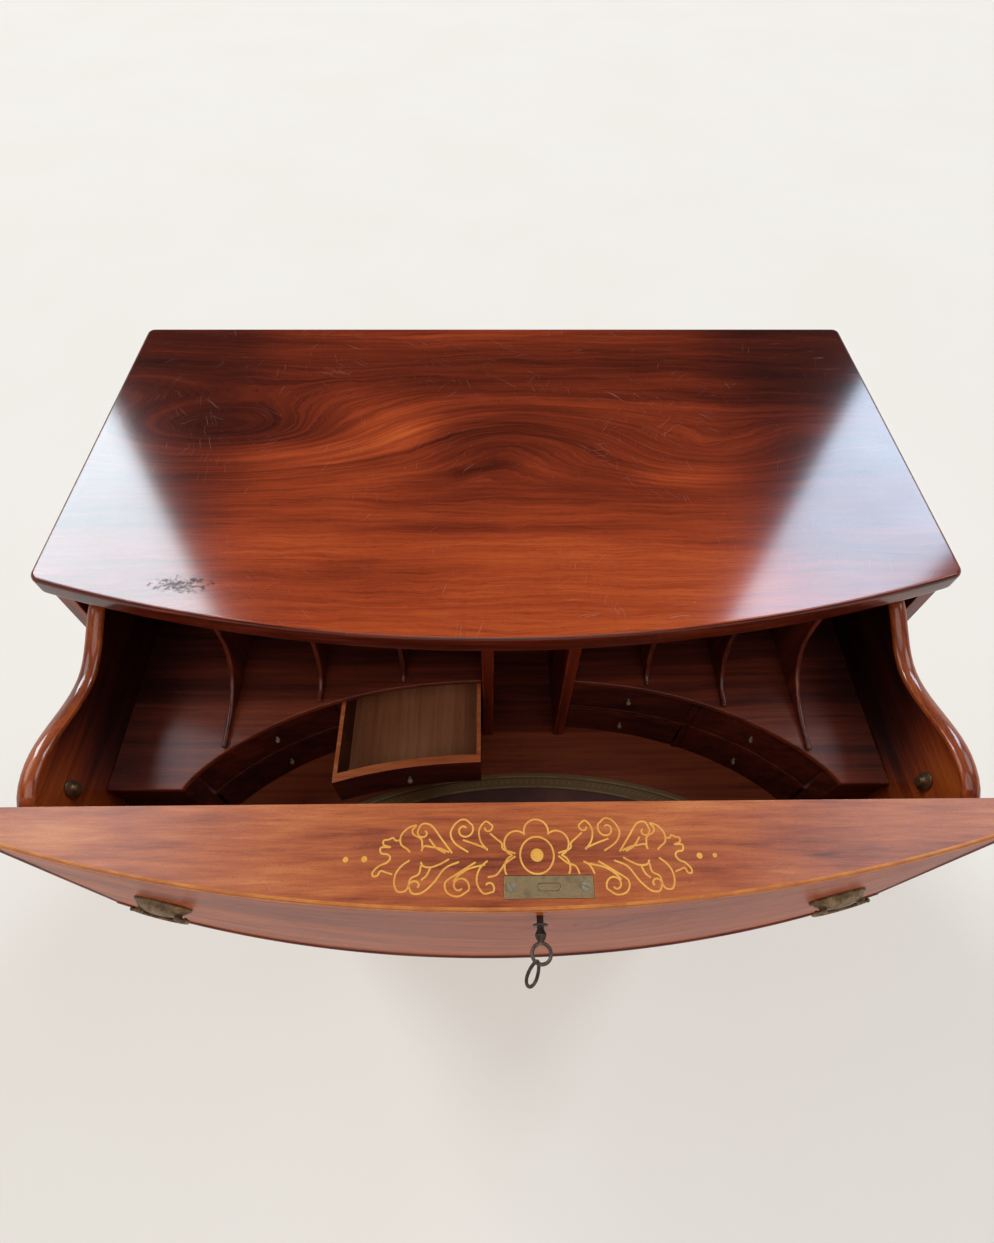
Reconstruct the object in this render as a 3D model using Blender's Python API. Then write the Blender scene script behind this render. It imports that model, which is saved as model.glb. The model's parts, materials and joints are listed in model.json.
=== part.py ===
"""Bow-front secretary chest of drawers, its writing drawer pulled out as photographed.

Metres, +Z up, front towards -Y. Everything is laid out with Y = 0 at the top board's front corners, then
moved so that the origin is the bottom centre of the bounding box.
"""

import math

import bmesh
import bpy
from mathutils import Matrix, Vector

# Fits and clearances
GAP = 0.0003
SLIDE = 0.0015
REVEAL = 0.0020

# Overall sizes
TOTAL_HEIGHT = 1.040
FOOT_HEIGHT = 0.110
TOP_WIDTH = 1.000
TOP_BACK = 0.456
TOP_THICK = 0.028
TOP_BOW_RADIUS = 1.600
TOP_FRONT = -0.0787
TOP_CORNER = 0.010
TOP_EDGE_OVER = 0.0045
TOP_EDGE_UNDER = 0.0085

# Carcass
SIDE_THICK = 0.016
SIDE_OVERHANG = 0.012
SIDE_FRONT = 0.003
SIDE_BACK = 0.450
BACK_THICK = 0.012
BOARD_THICK = 0.018
BASE_THICK = 0.022
BASE_EDGE = 0.0073
BASE_CORNER = 0.011
BASE_REACH = 0.006
RAIL_SETBACK = 0.004
FOOT_INSET = 0.056
FOOT_RADIUS = 0.038

# Bowed fronts
FRONT_RADIUS = 1.712
FRONT_CENTRE = 0.092
FRONT_PLANE = 0.020
FRONT_BOARD = 0.024
ARC_STEPS = 28

# Writing drawer
PULLED = 0.252
FALL_HEADROOM = 0.006
WELL_DEPTH = 0.300
FLOOR_THICK = 0.018
FALL_LIP = 0.016
DRAWER_LENGTH = 0.405
CHEEK_INSET = 0.015
CHEEK_THICK = 0.019
CHEEK_BEAD = 0.006
TOP_CLEAR = 0.010
BACK_BOARD = 0.015
CHEEK_HUMP = (0.046, 0.0425)
CHEEK_DIP = (0.153, 0.0685)
CHEEK_RISE = (0.248, 0.0380)

# Fitted interior
SHELF_DROP = 0.1587
SHELF_THICK = 0.008
SHELF_FRONT = 0.059
ARCH_CENTRE = 0.0145
ARCH_MARGIN = 0.0695
ARCH_DEPTH = 0.135
ARCH_CROWN = 2.5
ARCH_FOOT = 1.3
ARCH_STEPS = 32
NEST_SETBACK = 0.003
NEST_REAR = 0.030
NEST_WALL = 0.007
POCKET_REAR = 0.009
RECESS = (-0.007, 0.077)
PILASTER_WIDE = 0.014
PILASTER_FRONT = 0.184
PARTITION_LEFT = 0.157
PARTITION_RIGHT = 0.1395
DIVIDERS_LEFT = (0.1205, 0.2219, 0.3206)
DIVIDERS_RIGHT = (0.2569, 0.1681, 0.0816)
DIVIDER_THICK = 0.0055
DIVIDER_FRONT = 0.208
DIVIDER_TOE = 0.005
DIVIDER_RISE = 0.085
SMALL_WALL = 0.005
SMALL_FRONT = 0.010
SMALL_BOTTOM = 0.004
SMALL_PLAY = 0.0015
TRAY_PULLED = 0.105
KNOB_RADIUS = 0.0032

# Writing leather
LEATHER_CENTRE = 0.035
LEATHER_CLEAR = 0.019
LEATHER_DEPTH = 0.129
LEATHER_MARGIN = 0.012
LEATHER_THICK = 0.0010
LEATHER_SINK = 0.0013

# Hardware
HINGE_INSET = 0.072
HINGE_LENGTH = 0.050
HINGE_RADIUS = 0.0030
HINGE_LEAF = 0.026
HINGE_GAUGE = 0.0015
LOCK_AT = (0.037, 0.073)
LOCK_PLATE = (0.076, 0.0184, 0.0020)
LOCK_CASE = (0.056, 0.014, 0.046)
BOLT = (0.019, 0.006, 0.012)
KEY_AT = 0.030
KEY_DROP = 0.026
KEY_RADIUS = 0.0030
KEY_BOW = 0.0080
KEY_WIRE = 0.0016
HANDLE_INSET = 0.1205
PLATE_HALF = (0.031, 0.023)
PLATE_RISE = 0.0085
POST_AT = 0.021
POST_RADIUS = 0.0040
POST_REACH = 0.0145
BAIL_OUT = 0.0105
BAIL_HALF = 0.0290
BAIL_DROP = 0.0310
BAIL_RADIUS = 0.0021
PIN_RADIUS = 0.0014
CATCH_BEHIND = 0.040
CATCH_DROP = 0.101
CATCH_HALF = (0.009, 0.014)
CATCH_REACH = 0.0088

# Lower drawers
LOWER_DRAWERS = 2
BOX_WALL = 0.012
BOX_BOTTOM = 0.008
BOX_DROP = 0.030
BOX_BACK = 0.425

# Levels that follow from the sizes
TOP_UNDER = TOTAL_HEIGHT - TOP_THICK
FALL_TOP = TOP_UNDER - FALL_HEADROOM
WELL = TOTAL_HEIGHT - WELL_DEPTH
FLOOR_UNDER = WELL - FLOOR_THICK
FALL_BOTTOM = WELL - FALL_LIP
INNER_TOP = TOP_UNDER - TOP_CLEAR
BASE_TOP = FOOT_HEIGHT + GAP + BASE_THICK
UPPER_BOARD_TOP = FLOOR_UNDER - GAP
UPPER_BOARD_UNDER = UPPER_BOARD_TOP - BOARD_THICK
LOWER_OPENING = (UPPER_BOARD_UNDER - BASE_TOP - BOARD_THICK * (LOWER_DRAWERS - 1)) / LOWER_DRAWERS
SHELF_TOP = TOTAL_HEIGHT - SHELF_DROP
SHELF_UNDER = SHELF_TOP - SHELF_THICK
CARCASS_HALF = TOP_WIDTH / 2 - SIDE_OVERHANG
INNER_HALF = CARCASS_HALF - SIDE_THICK
FRONT_HALF = INNER_HALF - SLIDE
BACK_INNER = SIDE_BACK - REVEAL - BACK_THICK
PLANE = FRONT_PLANE - PULLED
DRAWER_HALF = INNER_HALF - CHEEK_INSET
CHEEK_INNER = DRAWER_HALF - CHEEK_THICK
ARCH_HALF = CHEEK_INNER - ARCH_MARGIN
PARTITIONS = (ARCH_CENTRE - ARCH_HALF + PARTITION_LEFT,
              ARCH_CENTRE + ARCH_HALF - PARTITION_RIGHT)
DIVIDERS = [-CHEEK_INNER + d for d in DIVIDERS_LEFT] + [CHEEK_INNER - d for d in DIVIDERS_RIGHT]
NEST_BACK = DRAWER_LENGTH - BACK_BOARD - NEST_REAR
POCKET_BACK = NEST_BACK - POCKET_REAR
HINGE_AT = DRAWER_HALF - HINGE_INSET
LEATHER_HALF = HINGE_AT - HINGE_LENGTH / 2 - LEATHER_CENTRE - LEATHER_CLEAR
HANDLE_AT = FRONT_HALF - HANDLE_INSET

COLOURS = {
    "mahogany": (0.190, 0.045, 0.020, 1.0),
    "drawer_wood": (0.330, 0.150, 0.060, 1.0),
    "brass": (0.450, 0.310, 0.130, 1.0),
    "bronze": (0.140, 0.110, 0.080, 1.0),
    "leather": (0.200, 0.130, 0.045, 1.0),
}


def clear_scene():
    for obj in list(bpy.data.objects):
        bpy.data.objects.remove(obj, do_unlink=True)


def new_material(name, kind):
    material = bpy.data.materials.new(name)
    material.use_nodes = True
    shader = material.node_tree.nodes["Principled BSDF"]
    shader.inputs["Base Color"].default_value = COLOURS[kind]
    shader.inputs["Metallic"].default_value = 1.0 if kind in ("brass", "bronze") else 0.0
    shader.inputs["Roughness"].default_value = 0.35
    return material


def tidy(bm):
    """Welds, turns every face outwards and returns the mesh."""
    bmesh.ops.remove_doubles(bm, verts=bm.verts, dist=1e-6)
    bmesh.ops.recalc_face_normals(bm, faces=bm.faces)
    if bm.calc_volume(signed=True) < 0:
        bmesh.ops.reverse_faces(bm, faces=bm.faces)
    return bm


def loft(rings):
    """A closed body through rings of equal length, with flat ends."""
    bm = bmesh.new()
    rows = [[bm.verts.new(point) for point in ring] for ring in rings]
    for low, high in zip(rows, rows[1:]):
        for k in range(len(low)):
            after = (k + 1) % len(low)
            bm.faces.new((low[k], low[after], high[after], high[k]))
    bm.faces.new(rows[0][::-1])
    bm.faces.new(rows[-1])
    return tidy(bm)


def plan_prism(outline, low, high):
    """An outline of x, y pairs raised from low to high."""
    return loft([[(x, y, z) for x, y in outline] for z in (low, high)])


def side_prism(outline, first, last):
    """An outline of y, z pairs carried along x."""
    return loft([[(x, y, z) for y, z in outline] for x in (first, last)])


def box(low, high):
    (x0, y0, z0), (x1, y1, z1) = low, high
    return plan_prism([(x0, y0), (x1, y0), (x1, y1), (x0, y1)], z0, z1)


def lathe(profile, at, axis, sides):
    """Turns radius, distance pairs about an axis through a point."""
    axis = Vector(axis).normalized()
    across = axis.orthogonal().normalized()
    beside = axis.cross(across)
    rings = []
    for radius, along in profile:
        centre = Vector(at) + axis * along
        turns = [2 * math.pi * k / sides for k in range(sides)]
        rings.append([centre + radius * (across * math.cos(t) + beside * math.sin(t)) for t in turns])
    return loft(rings)


def tube(path, radii, sides):
    """A round bar along an open path with a radius at each point."""
    path = [Vector(p) for p in path]
    tangents = []
    for k in range(len(path)):
        tangents.append((path[min(k + 1, len(path) - 1)] - path[max(k - 1, 0)]).normalized())
    across = tangents[0].orthogonal().normalized()
    rings = []
    for point, tangent, radius in zip(path, tangents, radii):
        across = (across - tangent * across.dot(tangent)).normalized()
        beside = tangent.cross(across)
        turns = [2 * math.pi * k / sides for k in range(sides)]
        rings.append([point + radius * (across * math.cos(t) + beside * math.sin(t)) for t in turns])
    return loft(rings)


def loop_tube(path, radius, sides, normal):
    """A round bar along a closed flat path with the given normal."""
    path = [Vector(p) for p in path]
    normal = Vector(normal).normalized()
    bm = bmesh.new()
    rows = []
    for k, point in enumerate(path):
        tangent = (path[(k + 1) % len(path)] - path[k - 1]).normalized()
        out = tangent.cross(normal).normalized()
        turns = [2 * math.pi * j / sides for j in range(sides)]
        rows.append([bm.verts.new(point + radius * (out * math.cos(t) + normal * math.sin(t))) for t in turns])
    for k, low in enumerate(rows):
        high = rows[(k + 1) % len(rows)]
        for j in range(sides):
            after = (j + 1) % sides
            bm.faces.new((low[j], low[after], high[after], high[j]))
    return tidy(bm)


def add_piece(name, bm, kind, pivot=None):
    """An object of the mesh, its origin at the pivot or at the middle of the mesh."""
    points = [v.co for v in bm.verts]
    if pivot is None:
        pivot = [(min(p[i] for p in points) + max(p[i] for p in points)) / 2 for i in range(3)]
    pivot = Vector(pivot)
    bm.transform(Matrix.Translation(-pivot))
    mesh = bpy.data.meshes.new(name)
    bm.to_mesh(mesh)
    bm.free()
    obj = bpy.data.objects.new(name, mesh)
    obj.location = pivot
    bpy.context.scene.collection.objects.link(obj)
    mesh.materials.append(new_material(name + "_material", kind))
    return obj


def combine(obj, bodies, operation):
    """Cuts each body from the object, or joins each to it, and keeps the plain mesh."""
    for bm in bodies:
        mesh = bpy.data.meshes.new("tool")
        bm.to_mesh(mesh)
        bm.free()
        tool = bpy.data.objects.new("tool", mesh)
        tool.hide_render = True
        tool.display_type = "WIRE"
        bpy.context.scene.collection.objects.link(tool)
        step = obj.modifiers.new("step", "BOOLEAN")
        step.operation = operation
        step.solver = "EXACT"
        step.object = tool
        bpy.context.view_layer.update()
        graph = bpy.context.evaluated_depsgraph_get()
        made = bpy.data.meshes.new_from_object(obj.evaluated_get(graph))
        obj.modifiers.clear()
        made.name = obj.name
        obj.data = made
        bpy.data.objects.remove(tool, do_unlink=True)
    return obj


def cut(obj, *bodies):
    return combine(obj, bodies, "DIFFERENCE")


def join(obj, *bodies):
    return combine(obj, bodies, "UNION")


def spread(first, last, count):
    return [first + (last - first) * k / (count - 1) for k in range(count)]


def ease(t):
    return t * t * (3 - 2 * t)


def bow(x, radius=FRONT_RADIUS):
    return radius - math.sqrt(radius * radius - x * x)


def front_y(x, plane):
    """Where the bowed outer face is at x, for a front whose flat inner face is at plane."""
    return plane - FRONT_CENTRE + bow(x)


def arch(x, grow=0.0):
    """How far behind the fall the arched edge is at x."""
    share = min(1.0, abs(x - ARCH_CENTRE) / (ARCH_HALF + grow))
    return SHELF_FRONT + grow + ARCH_DEPTH * (1 - share ** ARCH_CROWN) ** (1 / ARCH_FOOT)


def arch_slope(x, grow=0.0):
    half = ARCH_HALF + grow
    share = abs(x - ARCH_CENTRE) / half
    fall = ARCH_CROWN / ARCH_FOOT * share ** (ARCH_CROWN - 1) * (1 - share ** ARCH_CROWN) ** (1 / ARCH_FOOT - 1)
    return math.copysign(ARCH_DEPTH / half * fall, ARCH_CENTRE - x)


def arch_points(first, last, count, grow=0.0, more=0.0):
    """Points along the arched edge between two x, closer together where it is steep."""
    half = ARCH_HALF + grow
    a, b = (math.asin(max(-1.0, min(1.0, (x - ARCH_CENTRE) / half))) for x in (first, last))
    xs = [ARCH_CENTRE + half * math.sin(t) for t in spread(a, b, count)]
    return [(x, PLANE + arch(x, grow) + more) for x in xs]


def round_corner(before, at, after, radius, steps):
    """Points of a round of the radius where two straight edges meet."""
    at = Vector(at)
    u = (Vector(before) - at).normalized()
    v = (Vector(after) - at).normalized()
    half = u.angle(v) / 2
    centre = at + (u + v).normalized() * (radius / math.sin(half))
    first = at + u * (radius / math.tan(half)) - centre
    last = at + v * (radius / math.tan(half)) - centre
    sweep = first.angle(last)
    points = []
    for t in spread(0.0, 1.0, steps):
        points.append(centre + (first * math.sin((1 - t) * sweep) + last * math.sin(t * sweep)) / math.sin(sweep))
    return [(p.x, p.y) for p in points]


def inset(outline, amount):
    """The outline moved inwards, each point along the middle of its two edges' normals."""
    moved = []
    count = len(outline)
    for k in range(count):
        before, at, after = (Vector(outline[(k + j) % count]) for j in (-1, 0, 1))
        u, v = (at - before).normalized(), (after - at).normalized()
        normal = Vector((-(u.y + v.y), u.x + v.x)).normalized()
        share = max(0.5, normal.dot(Vector((-u.y, u.x))))
        moved.append(tuple(at + normal * (amount / share)))
    return moved


def bowed_outline(half, front, back, radius, corner):
    """A board with a bowed front, straight sides and back, and rounded corners."""
    edge = [(x, front + bow(x, radius)) for x in spread(-half, half, ARC_STEPS + 1)]
    left, right = edge[0], edge[-1]
    keep = [p for p in edge if abs(p[0]) < half - 1.5 * corner]
    outline = round_corner((-half, back), left, keep[0], corner, 5) + keep
    outline += round_corner(keep[-1], right, (half, back), corner, 5)
    outline += round_corner(right, (half, back), (-half, back), corner, 4)
    outline += round_corner((half, back), (-half, back), left, corner, 4)
    return outline


def edged_board(outline, low, high, under, over):
    """A board whose edge is rounded by one radius below and another above."""
    rings = []
    for turn in spread(-math.pi / 2, 0.0, 4):
        ring = inset(outline, under * (1 - math.cos(turn)))
        rings.append([(x, y, low + under * (1 + math.sin(turn))) for x, y in ring])
    for turn in spread(0.0, math.pi / 2, 4):
        ring = inset(outline, over * (1 - math.cos(turn)))
        rings.append([(x, y, high - over * (1 - math.sin(turn))) for x, y in ring])
    return loft(rings)


def build_carcass():
    outline = bowed_outline(TOP_WIDTH / 2, TOP_FRONT, TOP_BACK, TOP_BOW_RADIUS, TOP_CORNER)
    board = edged_board(outline, TOP_UNDER, TOTAL_HEIGHT, TOP_EDGE_UNDER, TOP_EDGE_OVER)
    top = add_piece("top_board", board, "mahogany")
    strike = LOCK_AT[0], FRONT_PLANE - LOCK_AT[1]
    room = Vector((BOLT[0] / 2 + REVEAL, BOLT[1] / 2 + REVEAL))
    cut(top, box((strike[0] - room.x, strike[1] - room.y, TOP_UNDER - 0.01),
                 (strike[0] + room.x, strike[1] + room.y, TOP_UNDER + 0.010)))
    for name, sign in (("left_side", -1), ("right_side", 1)):
        xs = sorted((sign * INNER_HALF, sign * CARCASS_HALF))
        add_piece(name, box((xs[0], SIDE_FRONT, BASE_TOP + GAP), (xs[1], SIDE_BACK, TOP_UNDER - GAP)), "mahogany")
    add_piece("back_panel", box((-INNER_HALF + GAP, BACK_INNER, BASE_TOP + GAP),
                                (INNER_HALF - GAP, BACK_INNER + BACK_THICK, TOP_UNDER - GAP)), "drawer_wood")
    half = INNER_HALF - GAP
    rail = [(x, front_y(x, FRONT_PLANE) + RAIL_SETBACK) for x in spread(-half, half, ARC_STEPS + 1)]
    rail += [(half, BACK_INNER - GAP), (-half, BACK_INNER - GAP)]
    add_piece("dust_board_upper", plan_prism(rail, UPPER_BOARD_UNDER, UPPER_BOARD_TOP), "mahogany")
    for k in range(1, LOWER_DRAWERS):
        under = UPPER_BOARD_UNDER - k * LOWER_OPENING - (k - 1) * BOARD_THICK - BOARD_THICK
        add_piece(f"dust_board_lower_{k}", plan_prism(rail, under, under + BOARD_THICK), "mahogany")
    front = front_y(0.0, FRONT_PLANE) - BASE_REACH
    outline = bowed_outline(CARCASS_HALF + BASE_REACH, front, TOP_BACK, FRONT_RADIUS, BASE_CORNER)
    add_piece("base_board", edged_board(outline, FOOT_HEIGHT + GAP, BASE_TOP, BASE_EDGE, BASE_EDGE), "mahogany")
    shares = [(0.63, 0.0), (0.87, 0.09), (1.0, 0.27), (0.9, 0.47), (0.68, 0.58), (0.74, 0.64), (0.92, 0.71),
              (0.97, 0.85), (0.97, 1.0)]
    profile = [(FOOT_RADIUS * wide, FOOT_HEIGHT * high) for wide, high in shares]
    for depth, y in (("front", FRONT_PLANE + FOOT_INSET / 2), ("back", SIDE_BACK - FOOT_INSET)):
        for side, sign in (("left", -1), ("right", 1)):
            at = (sign * (CARCASS_HALF - FOOT_INSET), y, 0.0)
            add_piece(f"{depth}_{side}_foot", lathe(profile, at, (0, 0, 1), 16), "mahogany")


def cheek_outline():
    """The side of the writing drawer: y, z pairs with the ogee along the top."""
    top = TOTAL_HEIGHT
    nose = []
    for turn in spread(0.0, math.pi / 2, 7):
        d = CHEEK_HUMP[0] - (CHEEK_HUMP[0] - GAP) * math.cos(turn)
        nose.append((d, top - CHEEK_DIP[1] + (CHEEK_DIP[1] - CHEEK_HUMP[1]) * math.sin(turn)))
    points = [(GAP, WELL + GAP)] + nose
    for first, last in ((CHEEK_HUMP, CHEEK_DIP), (CHEEK_DIP, CHEEK_RISE)):
        for t in spread(0.0, 1.0, 11)[1:]:
            drop = first[1] + (last[1] - first[1]) * ease(t)
            points.append((first[0] + (last[0] - first[0]) * t, top - drop))
    points += [(DRAWER_LENGTH, top - CHEEK_RISE[1]), (DRAWER_LENGTH, WELL + GAP)]
    return [(PLANE + d, z) for d, z in points]


def beaded_panel(outline, first, last):
    """The cheek carried along x, its edge rounded over apart from where it meets the floor and the back."""
    rings = []
    for turn in spread(-math.pi / 2, math.pi / 2, 7):
        ring = inset(outline, -CHEEK_BEAD * (1 - math.cos(turn)))
        for k in (0, -1):
            ring[k] = (ring[k][0], outline[k][1])
        for k in (-1, -2):
            ring[k] = (outline[k][0], ring[k][1])
        x = (first + last) / 2 + (last - first) / 2 * math.sin(turn)
        rings.append([(x, y, z) for y, z in ring])
    return loft(rings)


def leather_outline(grow):
    """The writing inset: a straight front edge and half an ellipse behind it, larger all round by grow."""
    margin, half, depth = LEATHER_MARGIN - grow, LEATHER_HALF + grow, LEATHER_DEPTH + grow
    start = math.asin(margin / depth)
    turns = spread(math.pi - start, start, 33)
    return [(LEATHER_CENTRE + half * math.cos(t), PLANE + depth * math.sin(t)) for t in reversed(turns)]


def build_writing_drawer():
    back = PLANE + DRAWER_LENGTH
    floor = add_piece("writing_floor", box((-FRONT_HALF, PLANE + GAP, FLOOR_UNDER), (FRONT_HALF, back, WELL)),
                      "mahogany")
    cut(floor, plan_prism(leather_outline(GAP), WELL - LEATHER_SINK, WELL + 0.01))
    add_piece("writing_leather", plan_prism(leather_outline(0.0), WELL - LEATHER_SINK + GAP,
                                            WELL - LEATHER_SINK + GAP + LEATHER_THICK), "leather")
    reach = HINGE_RADIUS + 2 * GAP
    for side, x in (("left", -HINGE_AT), ("right", HINGE_AT)):
        half = HINGE_LENGTH / 2
        cut(floor, box((x - half - GAP, PLANE - 0.01, WELL - reach), (x + half + GAP, PLANE + reach, WELL + 0.01)),
            box((x - half - GAP, PLANE - 0.01, WELL - HINGE_GAUGE - 2 * GAP),
                (x + half + GAP, PLANE + HINGE_LEAF + GAP, WELL + 0.01)))
        pin = lathe([(HINGE_RADIUS, 0.0), (HINGE_RADIUS, HINGE_LENGTH)], (x - half, PLANE, WELL), (1, 0, 0), 12)
        hinge = add_piece(f"fall_hinge_{side}", pin, "brass", (x, PLANE, WELL))
        leaf = box((x - half, PLANE, WELL - HINGE_GAUGE - GAP), (x + half, PLANE + HINGE_LEAF, WELL - GAP))
        join(hinge, leaf)
    outline = cheek_outline()
    add_piece("left_cheek", beaded_panel(outline, -DRAWER_HALF, -CHEEK_INNER), "mahogany")
    add_piece("right_cheek", beaded_panel(outline, CHEEK_INNER, DRAWER_HALF), "mahogany")
    half = CHEEK_INNER - GAP
    add_piece("drawer_back", box((-half, back - BACK_BOARD, WELL + GAP), (half, back, INNER_TOP)), "drawer_wood")
    build_shelf(half, back - BACK_BOARD - GAP)
    build_catches()


def build_shelf(half, back):
    left, right = RECESS[0] - PILASTER_WIDE - GAP, RECESS[1] + PILASTER_WIDE + GAP
    tail = PLANE + NEST_BACK + GAP
    first = ARCH_CENTRE - ARCH_HALF
    last = ARCH_CENTRE + ARCH_HALF
    outline = [(-half, PLANE + SHELF_FRONT)] + arch_points(first, left, ARCH_STEPS // 2)
    outline += [(left, tail), (right, tail)] + arch_points(right, last, ARCH_STEPS // 2)
    outline += [(half, PLANE + SHELF_FRONT), (half, back), (-half, back)]
    add_piece("pigeonhole_shelf", plan_prism(outline, SHELF_UNDER, SHELF_TOP), "mahogany")
    for side, x in (("left", RECESS[0] - PILASTER_WIDE), ("right", RECESS[1])):
        add_piece(f"pilaster_{side}", box((x, PLANE + PILASTER_FRONT, WELL + GAP),
                                          (x + PILASTER_WIDE, PLANE + NEST_BACK, INNER_TOP)), "mahogany")
    for k, x in enumerate(DIVIDERS):
        add_piece(f"divider_{k + 1}", side_prism(divider_outline(x, back), x - DIVIDER_THICK / 2,
                                                 x + DIVIDER_THICK / 2), "mahogany")


def divider_outline(x, back):
    """A pigeonhole divider: y, z pairs, its front edge swept down to a low toe at the shelf's edge."""
    low = SHELF_TOP + GAP
    toe = PLANE + arch(x) + DIVIDER_TOE
    head = PLANE + DIVIDER_FRONT
    sweep = []
    for turn in spread(0.0, math.pi / 2, 9):
        y = toe + (head - toe) * math.sin(turn) ** 0.8
        sweep.append((y, low + DIVIDER_TOE + DIVIDER_RISE * (1 - math.cos(turn) ** 0.8)))
    return [(toe, low)] + sweep + [(head, INNER_TOP), (back, INNER_TOP), (back, low)]


def build_catches():
    for side, sign in (("left", -1), ("right", 1)):
        at = Vector((sign * (CHEEK_INNER - GAP), PLANE + CATCH_BEHIND, TOTAL_HEIGHT - CATCH_DROP))
        inward = (-sign, 0, 0)
        rings = []
        for scale, out in ((1.0, 0.0), (1.0, 0.17), (0.7, 0.4), (0.55, 0.43), (0.5, 0.85), (0.3, 1.0)):
            turns = [2 * math.pi * k / 16 for k in range(16)]
            centre = at + Vector(inward) * (out * CATCH_REACH)
            rings.append([centre + Vector((0, CATCH_HALF[0] * scale * math.cos(t),
                                           CATCH_HALF[1] * scale * math.sin(t))) for t in turns])
        add_piece(f"catch_{side}", loft(rings), "brass")


def nest_bays(side):
    """For one side: x of the pilaster's face, the inner bay, the outer bay, and the nest's far edge."""
    sign = -1 if side == "left" else 1
    face = RECESS[0] - PILASTER_WIDE if sign < 0 else RECESS[1] + PILASTER_WIDE
    part = PARTITIONS[0] if sign < 0 else PARTITIONS[1]
    corner = ARCH_CENTRE + sign * (ARCH_HALF - NEST_WALL)
    inner = sorted((face + sign * GAP, part - sign * NEST_WALL / 2))
    outer = sorted((part + sign * NEST_WALL / 2, corner))
    return sign, face + sign * GAP, inner, outer, sign * (CHEEK_INNER - GAP)


def tiers():
    """Low and high of the upper and the lower tier's openings."""
    room = (SHELF_UNDER - WELL - NEST_WALL) / 2
    return {"upper": (SHELF_UNDER - room, SHELF_UNDER), "lower": (WELL, WELL + room)}


def build_nest(side):
    sign, face, inner, outer, far = nest_bays(side)
    corner = ARCH_CENTRE + sign * (ARCH_HALF + NEST_SETBACK)
    edge = arch_points(*sorted((corner, face)), ARCH_STEPS // 2, NEST_SETBACK)
    front, back = PLANE + SHELF_FRONT + NEST_SETBACK, PLANE + NEST_BACK
    if sign < 0:
        outline = [(far, front)] + edge + [(face, back), (far, back)]
    else:
        outline = edge + [(far, front), (far, back), (face, back)]
    nest = add_piece(f"nest_{side}", plan_prism(outline, WELL + GAP, SHELF_UNDER - GAP), "mahogany")
    open_front = PLANE - 0.05
    for low, high in tiers().values():
        reach_low = low - 0.01 if low <= WELL else low
        reach_high = high + 0.01 if high >= SHELF_UNDER else high
        past = sorted((face - sign * 0.02, inner[0] if sign < 0 else inner[1]))
        cut(nest, box((past[0], open_front, reach_low), (past[1], PLANE + POCKET_BACK, reach_high)),
            box((outer[0], open_front, reach_low), (outer[1], PLANE + POCKET_BACK, reach_high)))
    dead = sorted((corner + sign * NEST_WALL / 2, far - sign * NEST_WALL))
    cut(nest, box((dead[0], front + SMALL_FRONT, WELL - 0.01), (dead[1], back + 0.01, SHELF_UNDER + 0.01)))


def build_small_drawer(name, bay, levels, pulled):
    x0, x1 = bay[0] + SMALL_PLAY, bay[1] - SMALL_PLAY
    low, high = levels[0] + 2 * GAP, levels[1] - SMALL_PLAY
    shift = -pulled
    set_in = NEST_SETBACK + 0.001
    rear = PLANE + POCKET_BACK - SMALL_PLAY + shift
    front = [(x, y + shift) for x, y in arch_points(x0, x1, 9, set_in)]
    drawer = add_piece(name, plan_prism(front + [(x1, rear), (x0, rear)], low, high), "mahogany")
    a, b = x0 + SMALL_WALL, x1 - SMALL_WALL
    inside = []
    for x, y in arch_points(a, b, 9, set_in):
        inside.append((x, y + shift + SMALL_FRONT * math.sqrt(1 + arch_slope(x, set_in) ** 2)))
    inside += [(b, rear - SMALL_WALL), (a, rear - SMALL_WALL)]
    middle = (x0 + x1) / 2
    slope = arch_slope(middle, set_in)
    out = Vector((slope, -1.0, 0.0)).normalized()
    at = Vector((middle, PLANE + arch(middle, set_in) + shift, (low + high) / 2)) - out * 0.004
    r = KNOB_RADIUS
    profile = [(0.55 * r, 0.0), (0.55 * r, 0.0065), (0.9 * r, 0.0075), (r, 0.009), (0.8 * r, 0.011), (0.4 * r, 0.012)]
    cut(drawer, plan_prism(inside, low + SMALL_BOTTOM, high + 0.01))
    join(drawer, lathe(profile, at, out, 10))


def build_small_drawers():
    for side in ("left", "right"):
        build_nest(side)
        _, _, inner, outer, _ = nest_bays(side)
        for tier, levels in tiers().items():
            tray = side == "left" and tier == "upper"
            build_small_drawer(f"small_drawer_{side}_{tier}_inner", inner, levels, TRAY_PULLED if tray else 0.0)
            build_small_drawer(f"small_drawer_{side}_{tier}_outer", outer, levels, 0.0)


def face_frame(x, plane, z):
    """A place on a bowed face: its point, its level tangent and its outward normal."""
    slope = x / math.sqrt(FRONT_RADIUS ** 2 - x * x)
    tangent = Vector((1.0, slope, 0.0)).normalized()
    out = Vector((slope, -1.0, 0.0)).normalized()
    return Vector((x, front_y(x, plane), z)), tangent, out


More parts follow.
